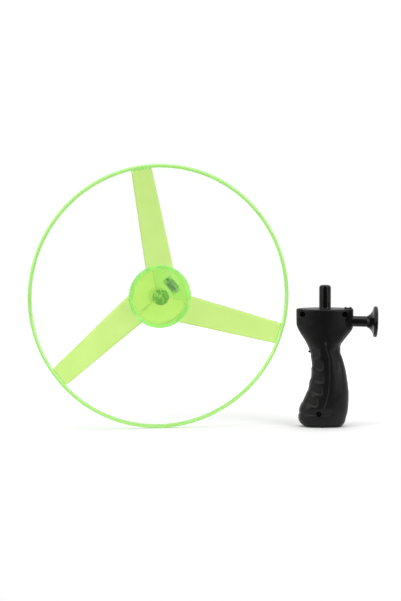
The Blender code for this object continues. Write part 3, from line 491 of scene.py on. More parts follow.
def sweep(points, radius, sides):
    """Round tube along points, with flat ends."""
    rings = []
    up = Vector((0, 0, 1))
    angles = steps_to(2 * pi, sides)[:-1]
    for index, point in enumerate(points):
        ahead = points[min(index + 1, len(points) - 1)]
        behind = points[max(index - 1, 0)]
        along = (ahead - behind).normalized()
        across = along.cross(up).normalized()
        over = across.cross(along)
        rings.append([point + (across * cos(angle) + over * sin(angle)) * radius for angle in angles])
    return loft(rings)


def new_object(name, shape):
    """Object from a bmesh, with its faces pointing out."""
    bmesh.ops.recalc_face_normals(shape, faces=shape.faces)
    mesh = bpy.data.meshes.new(name)
    shape.to_mesh(mesh)
    shape.free()
    thing = bpy.data.objects.new(name, mesh)
    bpy.context.scene.collection.objects.link(thing)
    return thing


def shape_of(thing):
    """The shape of an object that is no longer needed."""
    shape = bmesh.new()
    shape.from_mesh(thing.data)
    bpy.data.objects.remove(thing, do_unlink=True)
    return shape


def combine(thing, operation, shape):
    """Boolean with a shape, applied at once."""
    tool = new_object(f"{thing.name}_tool", shape)
    modifier = thing.modifiers.new("combine", "BOOLEAN")
    modifier.operation = operation
    modifier.solver = "MANIFOLD"
    modifier.object = tool
    depsgraph = bpy.context.evaluated_depsgraph_get()
    mesh = bpy.data.meshes.new_from_object(thing.evaluated_get(depsgraph))
    thing.modifiers.clear()
    thing.data = mesh
    bpy.data.objects.remove(tool, do_unlink=True)


def cut(thing, shape):
    """Take a shape away."""
    combine(thing, "DIFFERENCE", shape)


def finish_piece(thing, material, body, slot, *nodes):
    """Shade a piece, put it on its body and let it stand for its nodes."""
    thing.data.shade_smooth()
    thing.data.set_sharp_from_angle(angle=SHARP_ANGLE)
    thing.data.materials.clear()
    thing.data.materials.append(material)
    if body:
        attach(thing, body)
    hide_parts(*nodes)


# Materials

def new_material(name):
    """A new material, its node tree and its shader."""
    material = bpy.data.materials.new(name)
    material.use_nodes = True
    tree = material.node_tree
    return material, tree, tree.nodes["Principled BSDF"]


def put(node, values):
    """Set a node's own sockets."""
    for socket, value in values.items():
        node.inputs[socket].default_value = value


def link(source, node, socket):
    """Lead a value to a node's socket."""
    node.id_data.links.new(source, node.inputs[socket])


def coordinates(tree, kind="Object"):
    """Where each point lies."""
    return tree.nodes.new("ShaderNodeTexCoord").outputs[kind]


def noise(tree, scale, detail=2.0):
    """Noise over the object's own coordinates."""
    texture = tree.nodes.new("ShaderNodeTexNoise")
    put(texture, {"Scale": scale, "Detail": detail})
    link(coordinates(tree), texture, "Vector")
    return texture.outputs["Fac"]


def ramp(tree, source, low, high, span=NOISE_SPAN):
    """Colour from low to high over a span of the source."""
    mix = tree.nodes.new("ShaderNodeValToRGB")
    for element, position, colour in zip(mix.color_ramp.elements, span, (low, high)):
        element.position = position
        element.color = (*colour, 1.0)
    link(source, mix, "Fac")
    return mix.outputs["Color"]


def spread(tree, source, low, high, span=NOISE_SPAN):
    """Value from low to high over a span of the source."""
    change = tree.nodes.new("ShaderNodeMapRange")
    put(change, {"From Min": span[0], "From Max": span[1], "To Min": low, "To Max": high})
    link(source, change, "Value")
    return change.outputs["Result"]


def bump(tree, source, depth, shader):
    """Fine relief."""
    relief = tree.nodes.new("ShaderNodeBump")
    put(relief, {"Strength": 1.0, "Distance": depth})
    link(source, relief, "Height")
    link(relief.outputs["Normal"], shader, "Normal")


def paint(tree, shader, marks, dark, light, gloss_scale, gloss, span=NOISE_SPAN):
    """Colour that follows marks, and roughness that follows a noise."""
    link(ramp(tree, marks, dark, light, span), shader, "Base Color")
    link(spread(tree, noise(tree, gloss_scale), *gloss), shader, "Roughness")


def moulded(name, dark, light, gloss, grain, depth, metallic=0.0, specular=0.5):
    """Plastic or metal whose colour and gloss drift a little, with a fine grain."""
    material, tree, shader = new_material(name)
    paint(tree, shader, noise(tree, DRIFT_SCALE, DRIFT_DETAIL), dark, light, SHEEN_SCALE, gloss)
    put(shader, {"Metallic": metallic, "Specular IOR Level": specular})
    bump(tree, noise(tree, grain), depth, shader)
    return material


def translucent(
    name, dark, light, gloss, glow,
    transmission=0.85, bend=1.46, flow_and_shade_scale=FLOW_SCALE, flow_and_shade_span=NOISE_SPAN,
):
    """See-through plastic with mottled marks and a glow: flow marks and fluorescence, but painted shade on
    the socket's cap and painted light on the light unit's board and holder.
    """
    material, tree, shader = new_material(name)
    paint(tree, shader, noise(tree, flow_and_shade_scale), dark, light, GLOSS_SCALE, gloss, flow_and_shade_span)
    put(shader, {"Transmission Weight": transmission, "IOR": bend})
    put(shader, {"Emission Color": (*glow, 1.0), "Emission Strength": 1.0})
    return material


def braided(name, dark, light):
    """Cord with a twisted braid."""
    material, tree, shader = new_material(name)
    strands = tree.nodes.new("ShaderNodeTexWave")
    strands.bands_direction = "DIAGONAL"
    put(strands, {"Scale": BRAID_SCALE, "Distortion": BRAID_DISTORTION})
    link(coordinates(tree), strands, "Vector")
    strand = strands.outputs["Fac"]
    paint(tree, shader, strand, dark, light, FUZZ_SCALE, FUZZ_ROUGHNESS, BRAID_SPAN)
    bump(tree, strand, BRAID_DEPTH, shader)
    return material


# Launcher body

def section_slope(column, index):
    """Slope of the smooth curve at one station, flat where the outline turns back."""
    if index in (0, len(BODY_SECTIONS) - 1):
        return 0.0
    before, here, after = BODY_SECTIONS[index - 1:index + 2]
    rise_in = (getattr(here, column) - getattr(before, column)) / (here.height - before.height)
    rise_out = (getattr(after, column) - getattr(here, column)) / (after.height - here.height)
    if rise_in * rise_out <= 0:
        return 0.0
    return 2 * rise_in * rise_out / (rise_in + rise_out)


def section_value(column, height):
    """One measure of the body's section at a height, on a smooth curve through the stations."""
    index = 0
    while index < len(BODY_SECTIONS) - 2 and height > BODY_SECTIONS[index + 1].height:
        index += 1
    low, high = BODY_SECTIONS[index], BODY_SECTIONS[index + 1]
    span = high.height - low.height
    t = min(max((height - low.height) / span, 0.0), 1.0)
    leave = section_slope(column, index) * span
    arrive = section_slope(column, index + 1) * span
    return curve(getattr(low, column), getattr(high, column), leave, arrive, t)


def section_at(height):
    """The body's section at a height."""
    return Section(height, *(section_value(column, height) for column in Section._fields[1:]))


def surface_depth(x, height):
    """Distance of the body's plain surface from the parting plane."""
    section = section_at(height)
    middle = (section.right - section.left) / 2
    half_width = (section.right + section.left) / 2
    share = min(abs(x - middle) / half_width, 1.0)
    return section.half_depth * (1 - share ** section.squareness) ** (1 / section.squareness)


def ridge_x(height):
    """Where the ridge runs at a height: a smooth curve through its points."""
    index = 0
    while index < len(RIDGE) - 2 and height > RIDGE[index + 1].y:
        index += 1
    low, high = RIDGE[index], RIDGE[index + 1]
    before = RIDGE[max(index - 1, 0)]
    after = RIDGE[min(index + 2, len(RIDGE) - 1)]
    t = min(max((height - low.y) / (high.y - low.y), 0.0), 1.0)
    leave = (high.x - before.x) / (high.y - before.y) * (high.y - low.y)
    arrive = (after.x - low.x) / (after.y - low.y) * (high.y - low.y)
    return curve(low.x, high.x, leave, arrive, t)


def grip_rise(x, height):
    """How far the ridge, the palm facet and the dot stand out of the plain grip."""
    bottom, top = RIDGE[0].y, RIDGE[-1].y
    along = (height - bottom) / (top - bottom)
    beside = x - ridge_x(height)
    fade_out = ease((top + RIDGE_PAST_TOP - height) / RIDGE_FADE_OUT)
    fade = ease((height - bottom) / RIDGE_FADE_IN) * fade_out
    rise = RIDGE_RISE * exp(-(beside / RIDGE_WIDTH) ** 2) * fade
    past = beside - FACET_START
    facet = ease(past / FACET_WIDTH) * (1 - ease((past - FACET_WIDTH) / FACET_BACK))
    rise -= FACET_DEPTH * facet * ease((FACET_TOP - height) / FACET_FADE) * ease(along)
    rise += DOT_RISE * exp(-((x - DOT_X) / DOT_WIDTH) ** 2 - ((height - DOT_Z) / DOT_LENGTH) ** 2)
    return rise


def finger_depth(x, height):
    """Depth of the finger scoops: a sharp lower lip, bent up at the right, and a slow way out above."""
    depth = 0.0
    for lip, end in FINGERS:
        inside = end - x
        above = height - lip - FINGER_SLOPE * max(inside - FINGER_CORNER, 0.0)
        if inside <= 0 or not 0 < above < FINGER_HEIGHT:
            continue
        past_lip = min(inside, above)
        if inside < FINGER_CORNER and above < FINGER_CORNER:
            past_lip = FINGER_CORNER - hypot(FINGER_CORNER - inside, FINGER_CORNER - above)
        depth += FINGER_DEPTH * ease(past_lip / FINGER_EDGE) * (1 - above / FINGER_HEIGHT)
    return depth


def body_rise(x, y, height, left):
    """All the forms of the outside at one point."""
    ends = FINGER_END_SHARE + (1 - FINGER_END_SHARE) * ease((x + left) / FINGER_END_REACH)
    rise = grip_rise(x, height) - finger_depth(x, height) * ends
    above = height - LEDGE_HEIGHT
    ledge = ease(above / LEDGE_WIDTH) * (1 - ease(above / LEDGE_REACH))
    rise -= LEDGE_DEPTH * ledge * (1 - ease((x - LEDGE_FADE_START) / LEDGE_FADE))
    if x < -left + 2 * NUB_HALF:
        nub = ease((NUB_HALF - abs(height - NUB_Z)) / NUB_EDGE) * ease((NUB_HALF - abs(y)) / NUB_EDGE)
        rise += NUB_RISE * nub
    return rise


def dished(x, y, height):
    """Depth of a point beside the knob, drawn in to the flat floor of the dish there."""
    outline = hypot((x - DISH_X) / DISH_REACH, (height - DISH_Z) / DISH_HEIGHT)
    over = max(abs(y) - DISH_FLOOR, 0.0)
    return y - copysign(over * ease((1 - outline) / DISH_EDGE), y)


def body_ring(height, inset, segments, forms):
    """Points of the body's section at a height, drawn in by an inset."""
    section = section_at(height)
    middle = (section.right - section.left) / 2
    half_width = (section.right + section.left) / 2 - inset
    half_depth = section.half_depth - inset
    square = section.squareness
    ring = []
    for angle in steps_to(2 * pi, segments)[:-1]:
        across, out = cos(angle), sin(angle)
        reach = (abs(across / half_width) ** square + abs(out / half_depth) ** square) ** (-1 / square)
        x, y = reach * across, reach * out
        point = Vector((middle + x, y, height))
        if forms:
            lean_x = copysign(abs(x / half_width) ** (square - 1) / half_width, x)
            lean_y = copysign(abs(y / half_depth) ** (square - 1) / half_depth, y)
            outward = Vector((lean_x, lean_y, 0)).normalized()
            point += outward * body_rise(point.x, y, height, section.left)
            point.y = dished(point.x, point.y, height)
        ring.append(point)
    return ring


def body_stack():
    """Heights and insets of the body's rings: round edges, and close rings over the forms."""
    stack = []
    for turn in steps_to(pi / 2, EDGE_STEPS)[:-1]:
        stack.append((BASE_EDGE_RADIUS * (1 - cos(turn)), BASE_EDGE_RADIUS * (1 - sin(turn))))
    for low, high, step in BODY_SPANS:
        stack += [(height, 0.0) for height in even(low, high, step)[:-1]]
    for turn in steps_to(pi / 2, EDGE_STEPS):
        stack.append((HEAD_TOP - TOP_EDGE_RADIUS * (1 - sin(turn)), TOP_EDGE_RADIUS * (1 - cos(turn))))
    return stack


def plain_body(name, inset):
    """The body without its forms, drawn in by an inset."""
    heights = even(inset, HEAD_TOP - inset, CAVITY_STEP)
    return new_object(name, loft([body_ring(z, inset, CAVITY_SEGMENTS, False) for z in heights]))


def body_lap(inset, reach):
    """The inner layers at the parting plane, where the front shell's lip laps into the rear shell."""
    lap = plain_body("lap", inset)
    combine(lap, "INTERSECT", box((-FAR, -reach, -FAR), (FAR, reach, 2 * FAR)))
    return shape_of(lap)


def body_cavity():
    """The hollow inside the body, with the bosses, the bearing web and the knob socket left standing."""
    cavity = plain_body("cavity", WALL)
    for _, x, z in SCREWS:
        place = Matrix.Translation((x, 0, z)) @ ALONG_Y
        cut(cavity, moved(cylinder(BOSS_RADIUS, -FAR, FAR, SMALL_SEGMENTS), place))
    cut(cavity, box((-FAR, -FAR, WEB_TOP - WEB_THICKNESS), (FAR, FAR, WEB_TOP)))
    cut(cavity, moved(cylinder(SOCKET_RADIUS + SOCKET_WALL, SOCKET_BACK, FAR), CORD_LINE))
    return shape_of(cavity)


def screw_hole(x, z):
    """Stepped hole for a screw and its head."""
    seat = surface_depth(x, z) - SCREW_RECESS
    wide = SCREW_HEAD_RADIUS + 2 * FIT_GAP
    narrow = SCREW_RADIUS + FIT_GAP
    profile = [(0, -FAR), (wide, -FAR), (wide, -seat), (narrow, -seat)]
    profile += [(narrow, SCREW_BITE + FIT_GAP), (0, SCREW_BITE + FIT_GAP)]
    return moved(turned(profile, SMALL_SEGMENTS), Matrix.Translation((x, 0, z)) @ ALONG_Y)


def lip_rib(x, rise):
    """Round-ended rib across the head's top, beside the knob."""
    half = LIP_LENGTH / 2
    profile = [(0, -half), (LIP_RADIUS, -half), (LIP_RADIUS, half), (0, half)]
    place = Matrix.Translation((x, 0, HEAD_TOP + rise - LIP_RADIUS)) @ ALONG_Y
    return moved(turned(rounded(profile, LIP_ROUND, (0, 3)), SMALL_SEGMENTS), place)


def build_shells(black):
    """The two half shells with all the forms of the grip."""
    tab = ((-TAB_WIDTH / 2, -TAB_REACH, -WALL), (TAB_WIDTH / 2, TAB_REACH, 2 * WALL))
    notch_low = (-TAB_WIDTH / 2 - FIT_GAP, -TAB_REACH, -2 * WALL)
    notch_high = (TAB_WIDTH / 2 + FIT_GAP, TAB_REACH + FIT_GAP, 3 * WALL)
    mouth = STEM_RADIUS + SOCKET_MOUTH_GAP
    rings = [body_ring(height, inset, BODY_SEGMENTS, True) for height, inset in body_stack()]
    for name, node, side in (("grip_front", "front_shell", -1), ("grip_rear", "rear_shell", 1)):
        near, far = sorted((side * FIT_GAP / 2, side * FAR))
        half = new_object("half", box((-FAR, near, -FAR), (FAR, far, 2 * FAR)))
        if side < 0:
            combine(half, "UNION", box(*tab))
            combine(half, "UNION", body_lap(LAP_INSET, LAP_REACH))
        else:
            cut(half, box(notch_low, notch_high))
            cut(half, body_lap(LAP_INSET - FIT_GAP, LAP_REACH + FIT_GAP))
        shell = new_object(name, loft(rings))
        for x, rise in LIP_RIBS:
            combine(shell, "UNION", lip_rib(x, rise))
        combine(shell, "INTERSECT", shape_of(half))
        cut(shell, body_cavity())
        cut(shell, cylinder(SPINDLE_HOLE, HEAD_TOP - 2 * WALL, HEAD_TOP + WALL))
        cut(shell, moved(cylinder(mouth, SOCKET_FLOOR, FAR), KNOB_PLACE))
        cut(shell, moved(cylinder(GUIDE_RADIUS + FIT_GAP, 0, FAR), CORD_LINE))
        for _, x, z in SCREWS:
            cut(shell, screw_hole(x, z))
        finish_piece(shell, black, "housing", "matte_black", node)


def build_screws(dark_steel):
    """Pan-head screws, each with a cross recess."""
    for name, x, z in SCREWS:
        seat = -(surface_depth(x, z) - SCREW_RECESS) - FIT_GAP
        top = seat - SCREW_HEAD_THICKNESS
        head = [(SCREW_CROWN_RADIUS, top), (SCREW_HEAD_RADIUS, top + SCREW_HEAD_THICKNESS / 2)]
        shank = [(SCREW_HEAD_RADIUS, seat), (SCREW_RADIUS, seat)]
        tip = [(SCREW_RADIUS, SCREW_BITE - SCREW_RADIUS), (0, SCREW_BITE)]
        place = Matrix.Translation((x, 0, z)) @ ALONG_Y
        profile = [(0, top)] + head + shank + tip
        screw = new_object(f"pan_{name}", moved(turned(profile, SMALL_SEGMENTS), place))
        half, thin = SCREW_SLOT_LENGTH / 2, SCREW_SLOT_WIDTH / 2
        for reach_x, reach_y in ((half, thin), (thin, half)):
            low = (-reach_x, -reach_y, top - SCREW_SLOT_DEPTH)
            high = (reach_x, reach_y, top + SCREW_SLOT_DEPTH)
            cut(screw, moved(box(low, high), place))
        finish_piece(screw, dark_steel, "housing", "dark_steel", name)


# Spindle, knob and cord

def key_angles():
    """Directions of the spindle's keyways: one faces the screws' side."""
    return [-pi / 2 + turn for turn in steps_to(2 * pi, KEY_COUNT)[:-1]]


def build_spindle(gloss_black):
    """Keyed spindle with a round crown and a small flare where it leaves the head."""
    collar = HEAD_TOP + FIT_GAP
    shoulder = SHOULDER_TOP - SHOULDER_HEIGHT
    profile = [
        (0, SPINDLE_FOOT),
        (FOOT_RADIUS, SPINDLE_FOOT),
        (FOOT_RADIUS, FOOT_TOP),
        (SHAFT_RADIUS, FOOT_TOP),
        (SHAFT_RADIUS, shoulder),
        (SHOULDER_RADIUS, shoulder),
        (SHOULDER_RADIUS, SHOULDER_TOP),
        (SPINDLE_RADIUS, SHOULDER_TOP),
        (SPINDLE_RADIUS, collar),
        (COLLAR_RADIUS, collar),
    ]
    for turn in steps_to(pi / 2, ROUND_STEPS)[1:]:
        reach = COLLAR_RADIUS - (COLLAR_RADIUS - SPINDLE_RADIUS) * sin(turn)
        profile.append((reach, collar + COLLAR_HEIGHT * (1 - cos(turn))))
    for turn in steps_to(pi / 2, 2 * ROUND_STEPS):
        reach = CROWN_FLAT + (SPINDLE_RADIUS - CROWN_FLAT) * cos(turn)
        profile.append((reach, SPINDLE_TOP - CROWN_RISE * (1 - sin(turn))))
    profile.append((0, SPINDLE_TOP))
    spindle = new_object("keyed_spindle", turned(profile))
    for angle in key_angles():
        low = (SPINDLE_RADIUS - KEYWAY_DEPTH, -KEYWAY_WIDTH / 2, collar + COLLAR_HEIGHT)
        keyway = box(low, (2 * SPINDLE_RADIUS, KEYWAY_WIDTH / 2, SPINDLE_TOP + WALL))
        cut(spindle, moved(keyway, about_z(angle)))
    finish_piece(spindle, gloss_black, "reel", "gloss_black", "spindle")


def build_knob(gloss_black):
    """Knob with a trumpet-shaped stem and a round-edged flange."""
    bore = CORD_RADIUS + FIT_GAP
    pocket = KNOT_RADIUS + FIT_GAP
    edge = KNOB_THICKNESS / 2
    profile = [(bore, STEM_START), (STEM_RADIUS, STEM_START)]
    start = Vector((STEM_RADIUS, STEM_END))
    bend = Vector((STEM_RADIUS + FLARE_BEND_OUT, KNOB_START - FLARE_BEND_BACK))
    end = Vector((KNOB_RADIUS - edge, KNOB_START))
    steps = 4 * ROUND_STEPS
    for t in steps_to(1, steps):
        profile.append(tuple(start * (1 - t) ** 2 + bend * 2 * t * (1 - t) + end * t * t))
    for turn in steps_to(pi, steps)[1:]:
        profile.append((KNOB_RADIUS - edge + edge * sin(turn), KNOB_START + edge * (1 - cos(turn))))
    profile += [(pocket, KNOB_END), (pocket, KNOT_FLOOR), (bore, KNOT_FLOOR)]
    knob = new_object("trumpet_knob", moved(turned(profile), KNOB_PLACE))
    finish_piece(knob, gloss_black, "pull", "gloss_black", "pull_knob")


def build_guide(black):
    """Flanged eyelet for the cord, with round lips."""
    bore = CORD_RADIUS + FIT_GAP
    back = SOCKET_BACK - FIT_GAP
    profile = [
        (bore, back),
        (GUIDE_RADIUS, back),
        (GUIDE_RADIUS, GUIDE_FLANGE_START),
        (GUIDE_FLANGE_RADIUS, GUIDE_FLANGE_START),
        (GUIDE_FLANGE_RADIUS, GUIDE_FLANGE_END),
        (bore, GUIDE_FLANGE_END),
    ]
    guide = new_object("guide_eyelet", moved(turned(rounded(profile, CORD_RADIUS, (2, 3))), CORD_LINE))
    finish_piece(guide, black, "housing", "matte_black", "cord_guide")


def build_winding(braid):
    """The cord's turns on the drum, layer over layer."""
    diameter = 2 * CORD_RADIUS
    points = []
    for layer in range(CORD_LAYERS):
        reach = DRUM_RADIUS + FIT_GAP + CORD_RADIUS + layer * diameter
        rise = diameter * (-1) ** layer
        start = CORD_Z - rise * CORD_TURNS / 2
        for step in range(CORD_TURNS * WINDING_POINTS):
            angle = 2 * pi * step / WINDING_POINTS
            height = start + rise * step / WINDING_POINTS
            points.append(Vector((reach * cos(angle), reach * sin(angle), height)))
    winding = new_object("cord_winding", sweep(points, WOUND_CORD_RADIUS, CORD_SIDES))
    finish_piece(winding, braid, "reel", "cord", "wound_cord")


def build_cord_run(braid):
    """The cord from the drum, which it leaves on a tangent, to the guide."""
    reach = WINDING_RADIUS + FIT_GAP + CORD_RADIUS
    end = Vector((SOCKET_BACK - FIT_GAP, 0, CORD_Z))
    leave = atan2(sqrt(end.x ** 2 - reach ** 2), reach)
    start = Vector((reach * cos(leave), -reach * sin(leave), CORD_Z))
    along = (end - start).normalized()
    length = (end - start).length - FIT_GAP - CORD_RADIUS
    run = [start + along * t for t in even(0, length, 2 * CORD_RADIUS)]
    inner = new_object("cord_inner_run", sweep(run, CORD_RADIUS, CORD_SIDES))
    finish_piece(inner, braid, "housing", "cord", "cord_run")


def build_lead(braid):
    """The cord through the guide and the knob, which draws out as the knob is pulled."""
    first = Vector((SOCKET_BACK, 0, CORD_Z))
    last = Vector((KNOT_FLOOR, 0, CORD_Z))
    lead = [first.lerp(last, t) for t in steps_to(1, CORD_RINGS)]
    cord = new_object("cord_lead", sweep(lead, CORD_RADIUS, CORD_SIDES))
    finish_piece(cord, braid, None, "cord", "pull_cord")
    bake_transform(cord)


def build_knot(braid):
    """The knot that holds the cord in the knob."""
    half = (KNOB_END - KNOT_FLOOR) / 2 - FIT_GAP
    profile = [(0, KNOT_FLOOR + FIT_GAP)]
    for turn in steps_to(pi, 2 * ROUND_STEPS)[1:-1]:
        reach = KNOT_RADIUS * sin(turn) ** KNOT_FULLNESS
        profile.append((reach, KNOT_FLOOR + FIT_GAP + half * (1 - cos(turn))))
    profile.append((0, KNOB_END - FIT_GAP))
    knot = new_object("cord_end_knot", moved(turned(profile, SMALL_SEGMENTS), CORD_LINE))
    finish_piece(knot, braid, "pull", "cord", "cord_knot")


# Disc

def turn_from(blade, angle):
    """Signed turn from a blade to an angle."""
    return (angle - blade + pi) % (2 * pi) - pi


def seat_share(angle):
    """1 over a blade's tip, 0 away from it, with a soft change between."""
    share = 0.0
    for blade in BLADE_ANGLES:
        arc = turn_from(blade, angle) * RIM_RADIUS
        inside = min(BLADE_TIP_LEAD - arc, arc + BLADE_TIP_TRAIL)
        share = max(share, ease(inside / RIM_SEAT_FADE + 0.5))
    return share


def seat_reach(angle):
    """Distance from the axis to the flat seat of the nearest blade's tip."""
    away = min(abs(turn_from(blade, angle)) for blade in BLADE_ANGLES)
    return RIM_SEAT / cos(away) if away < RIM_SEAT_HALF_ANGLE else RIM_SEAT


def build_rim(green):
    """Round rim with a flat seat inside it for each blade's tip."""
    rings = []
    inner = RIM_RADIUS - RIM_THICKNESS / 2
    for angle in steps_to(2 * pi, RIM_SEGMENTS)[:-1]:
        rise = seat_share(angle) * max(inner - seat_reach(angle), 0.0)
        ring = []
        for turn in steps_to(2 * pi, RIM_SIDES)[:-1]:
            out, up = cos(turn), sin(turn)
            reach = RIM_RADIUS + RIM_THICKNESS / 2 * out
            if out < 0:
                reach -= rise * min(-2 * out, 1.0)
            ring.append((reach * cos(angle), reach * sin(angle), RIM_WIDTH / 2 * up))
        rings.append(ring)
    rim = new_object("ring_rim", moved(loft(rings, closed=True), DISC_PLACE))
    finish_piece(rim, green, "disc", "bright_green", "outer_rim")


def blade_solid():
    """One pitched blade along +X from the hub's round wall to the rim, with round edges."""
    root_radius = HUB_RADIUS - HUB_WALL / 2
    half = BLADE_THICKNESS / 2
    rings = []
    for share in steps_to(1, BLADE_STEPS):
        lead = BLADE_ROOT_LEAD + (BLADE_TIP_LEAD - BLADE_ROOT_LEAD) * share
        trail = BLADE_ROOT_TRAIL + (BLADE_TIP_TRAIL - BLADE_ROOT_TRAIL) * share
        rise = sin(BLADE_ROOT_PITCH + (BLADE_TIP_PITCH - BLADE_ROOT_PITCH) * share)
        drop = BLADE_ROOT_DROP * (1 - share)
        chord = lead + trail - 2 * half
        ends = (-trail + half, lead - half)
        outline = []
        for side, start, end in ((1, *ends), (-1, *reversed(ends))):
            for past in steps_to(chord, BLADE_CHORD_STEPS):
                outline.append((start + side * past, side * half))
            for angle in steps_to(pi, BLADE_EDGE_STEPS)[1:-1]:
                outline.append((end + side * half * sin(angle), side * half * cos(angle)))
        ring = []
        for across, up in outline:
            root = sqrt(root_radius ** 2 - across ** 2)
            reach = root + (BLADE_TIP - root) * share
            ring.append((reach, across, (across - (lead - trail) / 2) * rise - drop + up))
        rings.append(ring)
    return loft(rings)


def hub_shade(x, y, height):
    """Material of a hub face: 1 on the socket's cap with its painted shade, 2 on the floor by the light
    unit with its darker tone, or else 0.
    """
    reach = hypot(x, y)
    if reach < SOCKET_TUBE_RADIUS and abs(height - SOCKET_CAP) < TOUCH_GAP:
        return 1
    on_floor = reach < HUB_RADIUS and abs(height - HUB_FLOOR) < TOUCH_GAP
    by_light = CLIP_ANGLES[2] - 2 * pi < atan2(y, x) < CLIP_ANGLES[0]
    return 2 if on_floor and by_light else 0


def build_rotor(pale_green, socket_cap_shade_green, sector_darker_green):
    """Hub tray with its ribs, keyed spindle socket and blades in one moulding."""
    flange_back = HUB_FRONT - HUB_FLANGE_THICKNESS
    profile = [
        (0, SOCKET_END),
        (SOCKET_BORE, SOCKET_END),
        (SOCKET_BORE, SOCKET_TUBE_REAR),
        (SOCKET_TUBE_RADIUS, SOCKET_TUBE_REAR),
        (SOCKET_TUBE_RADIUS, HUB_REAR),
        (HUB_RADIUS, HUB_REAR),
        (HUB_RADIUS, flange_back),
        (HUB_FLANGE_RADIUS, flange_back),
        (HUB_FLANGE_RADIUS, HUB_FRONT),
        (HUB_RADIUS - HUB_WALL, HUB_FRONT),
        (HUB_RADIUS - HUB_WALL, HUB_FLOOR),
        (SOCKET_TUBE_RADIUS, HUB_FLOOR),
        (SOCKET_TUBE_RADIUS, SOCKET_CAP),
        (0, SOCKET_CAP),
    ]
    rotor = new_object("bladed_rotor", turned(profile))
    for angle in BLADE_ANGLES:
        combine(rotor, "UNION", moved(blade_solid(), about_z(angle)))
    half_key = KEYWAY_WIDTH / 2 - FIT_GAP
    for angle in key_angles():
        low = (SOCKET_BORE - KEYWAY_DEPTH, -half_key, SOCKET_TUBE_REAR + FIT_GAP)
        high = (SOCKET_TUBE_RADIUS - SOCKET_TUBE_WALL / 2, half_key, SOCKET_END + SOCKET_TUBE_WALL / 2)
        combine(rotor, "UNION", moved(box(low, high), about_z(angle)))
    for angle in CLIP_ANGLES:
        low = (HUB_RADIUS + FIT_GAP / 2, -CLIP_WIDTH / 2 - FIT_GAP, flange_back - FIT_GAP)
        high = (HUB_FLANGE_RADIUS + WALL, CLIP_WIDTH / 2 + FIT_GAP, HUB_FRONT + WALL)
        cut(rotor, moved(box(low, high), about_z(angle)))
    for angle in CLIP_ANGLES:
        low = (SOCKET_TUBE_RADIUS - SOCKET_TUBE_WALL / 2, -RIB_THICKNESS / 2, HUB_FLOOR - HUB_WALL / 2)
        high = (HUB_RADIUS - HUB_WALL / 2, RIB_THICKNESS / 2, RIB_TOP)
        combine(rotor, "UNION", moved(box(low, high), about_z(angle)))
    shades = [hub_shade(*face.center) for face in rotor.data.polygons]
    rotor.data.transform(DISC_PLACE)
    finish_piece(rotor, pale_green, "disc", "pale_green", "rotor")
    # The socket's cap takes the painted shade, and the floor by the light unit a darker tone
    rotor.data.materials.append(socket_cap_shade_green)
    rotor.data.materials.append(sector_darker_green)
    rotor.data.polygons.foreach_set("material_index", shades)


def clip_hook():
    """T-shaped hook that hangs from the dome's flange and grips under the hub's."""
    half, half_foot = CLIP_WIDTH / 2, CLIP_FOOT_WIDTH / 2
    foot_top = HUB_FRONT - HUB_FLANGE_THICKNESS - FIT_GAP
    foot_bottom = foot_top - CLIP_FOOT_HEIGHT
    top = DOME_SEAT + DOME_FLANGE_THICKNESS / 2
    right = [(half_foot, foot_bottom), (half_foot, foot_top), (half, foot_top), (half, top)]
    outline = right + [(-across, height) for across, height in reversed(right)]
    inner_side = HUB_RADIUS + FIT_GAP
    sides = (inner_side, inner_side + CLIP_THICKNESS)
    return loft([[(reach, across, height) for across, height in outline] for reach in sides])


def build_dome(dome_green, edge_green):
    """Domed cover whose hooks, each under a notch of its edge, drop through those of the hub's flange."""
    radius = (DOME_BASE_RADIUS ** 2 + DOME_RISE ** 2) / (2 * DOME_RISE)
    centre = DOME_SPRING_LINE + DOME_RISE - radius
    inner_base = DOME_BASE_RADIUS - DOME_WALL
    inner_radius = radius - DOME_WALL
    band = HUB_FLANGE_RADIUS - DOME_BAND
    outer, inner = [], []
    for past in steps_to(1, DOME_STEPS):
        share = 1 - past
        reach = DOME_BASE_RADIUS * share
        outer.append((reach, centre + sqrt(radius ** 2 - reach ** 2)))
        reach = inner_base * share
        inner.append((reach, centre + sqrt(inner_radius ** 2 - reach ** 2)))
    flange = [
        (inner_base, DOME_SEAT),
        (HUB_FLANGE_RADIUS, DOME_SEAT),
        (HUB_FLANGE_RADIUS, DOME_SPRING_LINE - DOME_EDGE),
        (HUB_FLANGE_RADIUS - DOME_EDGE, DOME_SPRING_LINE),
        (band, DOME_SPRING_LINE),
    ]
    dome = new_object("clear_dome", turned(inner[::-1] + flange + outer))
    for angle in CLIP_ANGLES:
        combine(dome, "UNION", moved(clip_hook(), about_z(angle)))
        low = (HUB_FLANGE_RADIUS - NOTCH_DEPTH, -NOTCH_WIDTH / 2, DOME_SEAT - FIT_GAP / 2)
        high = (HUB_FLANGE_RADIUS + WALL, NOTCH_WIDTH / 2, DOME_SPRING_LINE + WALL)
        cut(dome, moved(box(low, high), about_z(angle)))
    edges = [face.index for face in dome.data.polygons if face.center.xy.length > band]
    dome.data.transform(DISC_PLACE)
    finish_piece(dome, dome_green, "disc", "bright_green", "dome_cap")
    dome.data.materials.append(edge_green)
    for index in edges:
        dome.data.polygons[index].material_index = 1


# Stage

